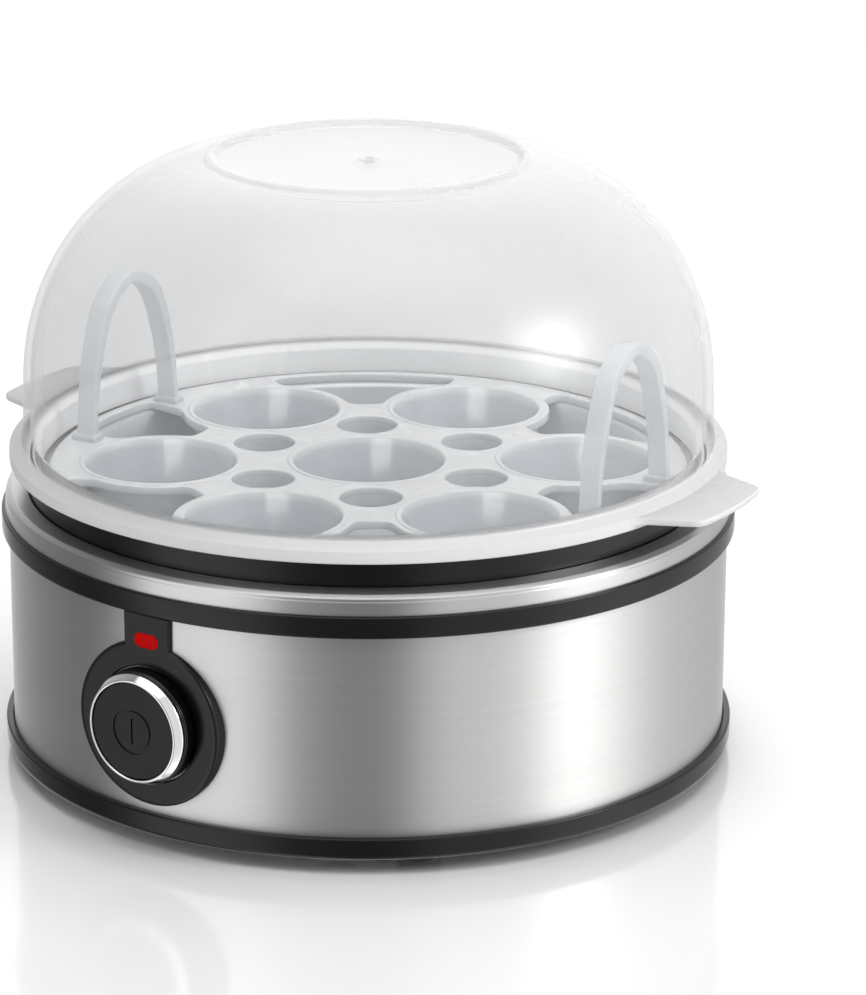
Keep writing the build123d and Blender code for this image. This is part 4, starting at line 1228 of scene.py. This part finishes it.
class EGGCOOKER_OT_panel(PieceOperator):
    """The black panel on the shell, flat in front, with its bevelled edge, and the red window"""

    bl_idname = "egg_cooker.panel"
    bl_label = "Switch panel"

    def reach(self, angle):
        """How far the panel goes from the button's axis, at an angle from straight up."""
        up, aside = polar(1, angle)
        rise = band_bottom - switch_height
        if up > 0 and abs(aside) * panel_radius < neck_half_width:
            return min(neck_half_width / max(abs(aside), 1e-9), rise / up)
        return panel_radius

    def make(self):
        neck_corner = degrees(atan2(neck_half_width, band_bottom - switch_height))
        neck_root = degrees(asin(neck_half_width / panel_radius))
        corners = [neck_corner, neck_root, -neck_corner, -neck_root]
        bm = bmesh.new()
        rings = []
        for angle in sorted(set([k * 1.5 for k in range(-120, 120)] + corners)):
            up, aside = polar(1, angle)
            edge = self.reach(angle)
            flat = edge - 0.9 - button_bore
            section = [(0, 5.0), (0, 0.3), (0.3, 0.0)]
            section += [(flat * k / 10, 0.0) for k in range(1, 11)]
            section = [(button_bore + out, down) for out, down in section]
            section += [(edge - 0.45, 0.08), (edge - 0.12, 0.3), (edge, 0.65)]
            ring = [
                vertex(bm, aside * out, down - panel_face, switch_height + up * out)
                for out, down in section
            ]
            ring.append(wrapped(bm, aside * edge, switch_height + up * edge, shell_radius - 0.2))
            rings.append(ring)
        join(bm, rings, closed=False)
        piece("panel_moulding", bm, "black_plastic", "root", ["switch_panel"], sharp=38)
        self.lens()

    def lens(self):
        """The red window: a rounded bar, domed and slightly proud of the panel."""
        length, _, width = high("indicator_lens") - low("indicator_lens")
        straight = (length - width) / 2
        face = panel_face + 0.35
        bm = bmesh.new()
        rings = []
        for down, inset in [(2.5, 0.0), (0.45, 0.0), (0.15, 0.18), (0.02, 0.5), (0.0, 1.1)]:
            ring = []
            for angle in even_angles(48):
                x, z = polar(width / 2 - inset, angle)
                x += straight if x > 0 or (abs(x) < 1e-9 and angle < 180) else -straight
                ring.append(wrapped(bm, x, lens_height + z, face - down))
            rings.append(ring)
        join(bm, rings, whole=False)
        bm.faces.new(rings[-1])
        piece("lens_window", bm, "red_lens", "root", ["indicator_lens"])


class EGGCOOKER_OT_button(PieceOperator):
    """The push button: skirt with its stem, chrome ring, and the finish of the cap"""

    bl_idname = "egg_cooker.button"
    bl_label = "Push button"

    def make(self):
        face = Matrix.Translation((0, 0, switch_height * MM)) @ Matrix.Rotation(radians(90), 4, "X")
        turn = even_angles(120)
        back = -high("button_skirt").y
        front = button_face - 3.0
        seat = front - 2.0
        bm = add_turned(bmesh.new(), rounded([
            (button_inner, button_back, 0.2),
            (button_radius, button_back, 0.4),
            (button_radius, front, 0.5),
            (chrome_radius - 1.0, front, 0.1),
            (chrome_radius - 1.0, seat, 0.1),
            (button_inner, seat, 0.2),
        ]), angles=turn)
        disc = [(0.0, seat), (button_inner, seat), (button_inner, front), (0.0, front)]
        add_turned(bm, disc, angles=turn, closed=False)
        outer, inner = stem_radii
        stem = [(outer, back), (outer, seat), (inner, seat), (inner, back)]
        add_turned(bm, stem, angles=even_angles(40))
        piece("button_skirt_moulding", bm, "black_plastic", "button", ["button_skirt"], matrix=face)
        bm = add_turned(bmesh.new(), rounded([
            (cap_radius + 0.05, front, 0),
            (cap_radius + 0.05, button_face, 0.25),
            (cap_radius + 0.6, button_face, 0.5),
            (chrome_radius, button_face - 1.9, 1.0),
            (chrome_radius, front, 0),
        ], steps=10), angles=turn)
        piece("chrome_ring", bm, "chrome_trim", "button", ["button_chrome_ring"], matrix=face)
        dress("button_cap")


# The plate and what is under it

plate_thickness = 1.2
plate_floor = 56.4
plate_well = plate_floor - 0.8
stud_radius = 1.6
stud_bottom = 46.8
stud_top = 54.6
stud_aside = 20


class EGGCOOKER_OT_plate(PieceOperator):
    """The heating plate, with its pressed rim, wall and well"""

    bl_idname = "egg_cooker.plate"
    bl_label = "Heating plate"

    def make(self):
        under = plate_floor - plate_thickness
        rim_under = plate_top - plate_thickness
        bm = add_turned(bmesh.new(), rounded([
            (0.0, plate_well, 0),
            (25.0, plate_well, 1.5),
            (27.0, plate_floor, 1.5),
            (68.0, plate_floor, 6.0),
            (75.5, plate_top, 2.4),
            (plate_radius, plate_top, 0.4),
            (plate_radius, rim_under, 0.4),
            (76.1, rim_under, 1.2),
            (68.9, under, 7.2),
            (27.4, under, 1.5),
            (25.4, plate_well - plate_thickness, 1.5),
            (0.0, plate_well - plate_thickness, 0),
        ], steps=8, closed=False), closed=False)
        stud = [(0.0, stud_bottom), (stud_radius, stud_bottom)]
        stud += [(stud_radius, stud_top), (0.0, stud_top)]
        for aside in (stud_aside, -stud_aside):
            add_turned(bm, stud, (aside, 0), even_angles(24), closed=False)
        piece("plate_pressing", bm, "plate_steel", "root", ["heating_plate"])


class EGGCOOKER_OT_inside(PieceOperator):
    """The finishes of the seal, the heater, the switch and the wiring"""

    bl_idname = "egg_cooker.inside"
    bl_label = "Inner parts"

    def make(self):
        dress(*sorted(set(frame["nodes"]) - COVERED))


# The studio

floor_profile = [
    (0, 0), (300, 0), (3000, 0), (9000, 0), (12000, 400), (14000, 2500), (14500, 6000)
]
# What stands around the object: (degrees to the right of the camera, brightness) of the
# white backdrop, the soft boxes and the dark flags between them
panels = [
    (-180, 1.25), (-168, 1.1), (-150, 0.5), (-125, 0.28), (-95, 0.18), (-80, 0.45), (-70, 1.15),
    (-44, 1.15), (-34, 0.85), (-24, 0.37), (-6, 0.25), (8, 0.26), (24, 0.8), (46, 0.8),
    (64, 1.35), (84, 1.4), (104, 0.85), (150, 0.6), (168, 1.1), (180, 1.25),
]


class EGGCOOKER_OT_studio(PieceOperator):
    """The pale floor, the soft lights and the camera at the photograph's angle"""

    bl_idname = "egg_cooker.studio"
    bl_label = "Studio"

    def make(self):
        self.floor()
        self.camera()
        self.surroundings()
        self.lights()
        scene = bpy.context.scene
        scene.view_settings.view_transform = "Standard"
        scene.cycles.transparent_max_bounces = 24

    def floor(self):
        """A wide round floor, which curves up far behind the object."""
        bm = add_turned(bmesh.new(), floor_profile, angles=even_angles(72), closed=False)
        bmesh.ops.remove_doubles(bm, verts=bm.verts, dist=1e-6)
        mesh = bpy.data.meshes.new("studio_floor")
        bm.to_mesh(mesh)
        bm.free()
        mesh.shade_smooth()
        mesh.materials.append(finish("floor"))
        floor = bpy.data.objects.new("studio_floor", mesh)
        bpy.context.scene.collection.objects.link(floor)
        floor.visible_glossy = False

    def camera(self):
        """The photograph's camera: where it stands, its tilt, and its small turn past the axis."""
        s = studio()
        camera = bpy.data.objects.new("camera", bpy.data.cameras.new("camera"))
        camera.data.sensor_width = 36.0
        camera.data.lens = s.focal
        camera.location = (s.distance * sin(s.azimuth), -s.distance * cos(s.azimuth), s.height)
        level = Matrix.Rotation(s.azimuth, 4, "Z")
        tilt = Matrix.Rotation(pi / 2 - s.pitch, 4, "X")
        turn = Matrix.Rotation(-s.turn, 4, "Y")
        camera.rotation_euler = (level @ tilt @ turn).to_euler()
        bpy.context.scene.collection.objects.link(camera)
        bpy.context.scene.camera = camera

    def surroundings(self):
        """The studio around the object: tall soft panels and dark flags, brighter overhead."""
        world = bpy.data.worlds.new("studio")
        world.use_nodes = True
        bpy.context.scene.world = world
        sky = Nodes(world.node_tree)
        spot = sky.add("ShaderNodeTexCoord", output="Generated")
        turn = {"Vector": spot, "Rotation": (0, 0, pi / 2 - studio().azimuth)}
        turned = {"Vector": sky.add("ShaderNodeMapping", inputs=turn)}
        aside = sky.add("ShaderNodeTexGradient", {"gradient_type": "RADIAL"}, turned, "Fac")
        stops = [(0.5 + angle / 360, opaque((level,) * 3)) for angle, level in panels]
        around = sky.add("ShaderNodeValToRGB", {"stops": stops}, {"Fac": aside})
        above = sky.ease(sky.part(spot, "Z"), 0.84, 0.97)
        light = sky.blend(above, around, opaque((studio().ceiling,) * 3))
        backdrop = sky.add("ShaderNodeLightPath", output="Is Camera Ray")
        seen = sky.blend(backdrop, light, opaque((1.0, 1.0, 1.0)))
        sky.feed(world.node_tree.nodes["Background"].inputs["Color"], seen)
        world.cycles.sampling_method = "NONE"

    def lights(self):
        """A wide soft light above, a soft panel on the right, and two for the pale pieces alone."""
        s = studio()
        self.light("overhead", (0.0, 0.1, 1.5), 1.8, s.overhead).visible_glossy = False
        self.light("side", self.around(s.side_azimuth, 1.2, s.side_height), 0.46, s.side)
        streaks = self.light("streaks", self.around(radians(-20), 1.5, 0.60), 0.9, s.streaks)
        streaks.visible_diffuse = False
        self.light_only(streaks, "tray_moulding")
        fill = self.light("fill", self.around(0, 1.5, 0.60), 0.9, s.fill)
        fill.visible_glossy = False
        pale = ("lid_dome", "tray_moulding", "handle_left_arch", "handle_right_arch")
        self.light_only(fill, *pale)

    def around(self, aside, distance, height):
        """A place at a level angle to the right of the camera."""
        angle = studio().azimuth - pi / 2 + aside
        return (distance * cos(angle), distance * sin(angle), height)

    def light(self, name, place, size, power):
        """A square area light that faces the middle of the object."""
        light = bpy.data.lights.new(name, "AREA")
        light.size = size
        light.energy = power
        shown = bpy.data.objects.new(name, light)
        shown.location = place
        aim = Vector((0, 0, 0.09)) - Vector(place)
        shown.rotation_euler = aim.to_track_quat("-Z", "Y").to_euler()
        bpy.context.scene.collection.objects.link(shown)
        return shown

    def light_only(self, light, *names):
        """Let a light reach only the pieces of those names."""
        lit = bpy.data.collections.new(light.name)
        for name in names:
            lit.objects.link(bpy.data.objects[name])
        light.light_linking.receiver_collection = lit


PIECES = (
    EGGCOOKER_OT_lid,
    EGGCOOKER_OT_tray,
    EGGCOOKER_OT_handles,
    EGGCOOKER_OT_housing,
    EGGCOOKER_OT_shell,
    EGGCOOKER_OT_base,
    EGGCOOKER_OT_panel,
    EGGCOOKER_OT_button,
    EGGCOOKER_OT_plate,
    EGGCOOKER_OT_inside,
    EGGCOOKER_OT_studio,
)


class EGGCOOKER_PT_sidebar(Panel):
    """Lists the sizes, the colours and the pieces"""

    bl_idname = "EGGCOOKER_PT_sidebar"
    bl_label = "Egg Cooker"
    bl_space_type = "VIEW_3D"
    bl_region_type = "UI"
    bl_category = "Egg Cooker"

    def draw(self, context):
        for group in (sizes(), colours(), studio()):
            box = self.layout.box()
            for name in group.__annotations__:
                box.prop(group, name)
        for operator in PIECES:
            self.layout.operator(operator.bl_idname)


CLASSES = (CookerSizes, CookerColours, StudioSettings, *PIECES, EGGCOOKER_PT_sidebar)


def register():
    for cls in CLASSES:
        bpy.utils.register_class(cls)
    bpy.types.Scene.egg_cooker_sizes = PointerProperty(type=CookerSizes)
    bpy.types.Scene.egg_cooker_colours = PointerProperty(type=CookerColours)
    bpy.types.Scene.egg_cooker_studio = PointerProperty(type=StudioSettings)


def unregister():
    del bpy.types.Scene.egg_cooker_studio
    del bpy.types.Scene.egg_cooker_colours
    del bpy.types.Scene.egg_cooker_sizes
    for cls in reversed(CLASSES):
        bpy.utils.unregister_class(cls)


def main():
    register()
    bpy.ops.egg_cooker.lid()
    bpy.ops.egg_cooker.tray()
    bpy.ops.egg_cooker.handles()
    bpy.ops.egg_cooker.housing()
    bpy.ops.egg_cooker.shell()
    bpy.ops.egg_cooker.base()
    bpy.ops.egg_cooker.panel()
    bpy.ops.egg_cooker.button()
    bpy.ops.egg_cooker.plate()
    bpy.ops.egg_cooker.inside()
    bpy.ops.egg_cooker.studio()


if __name__ == "__main__":
    main()
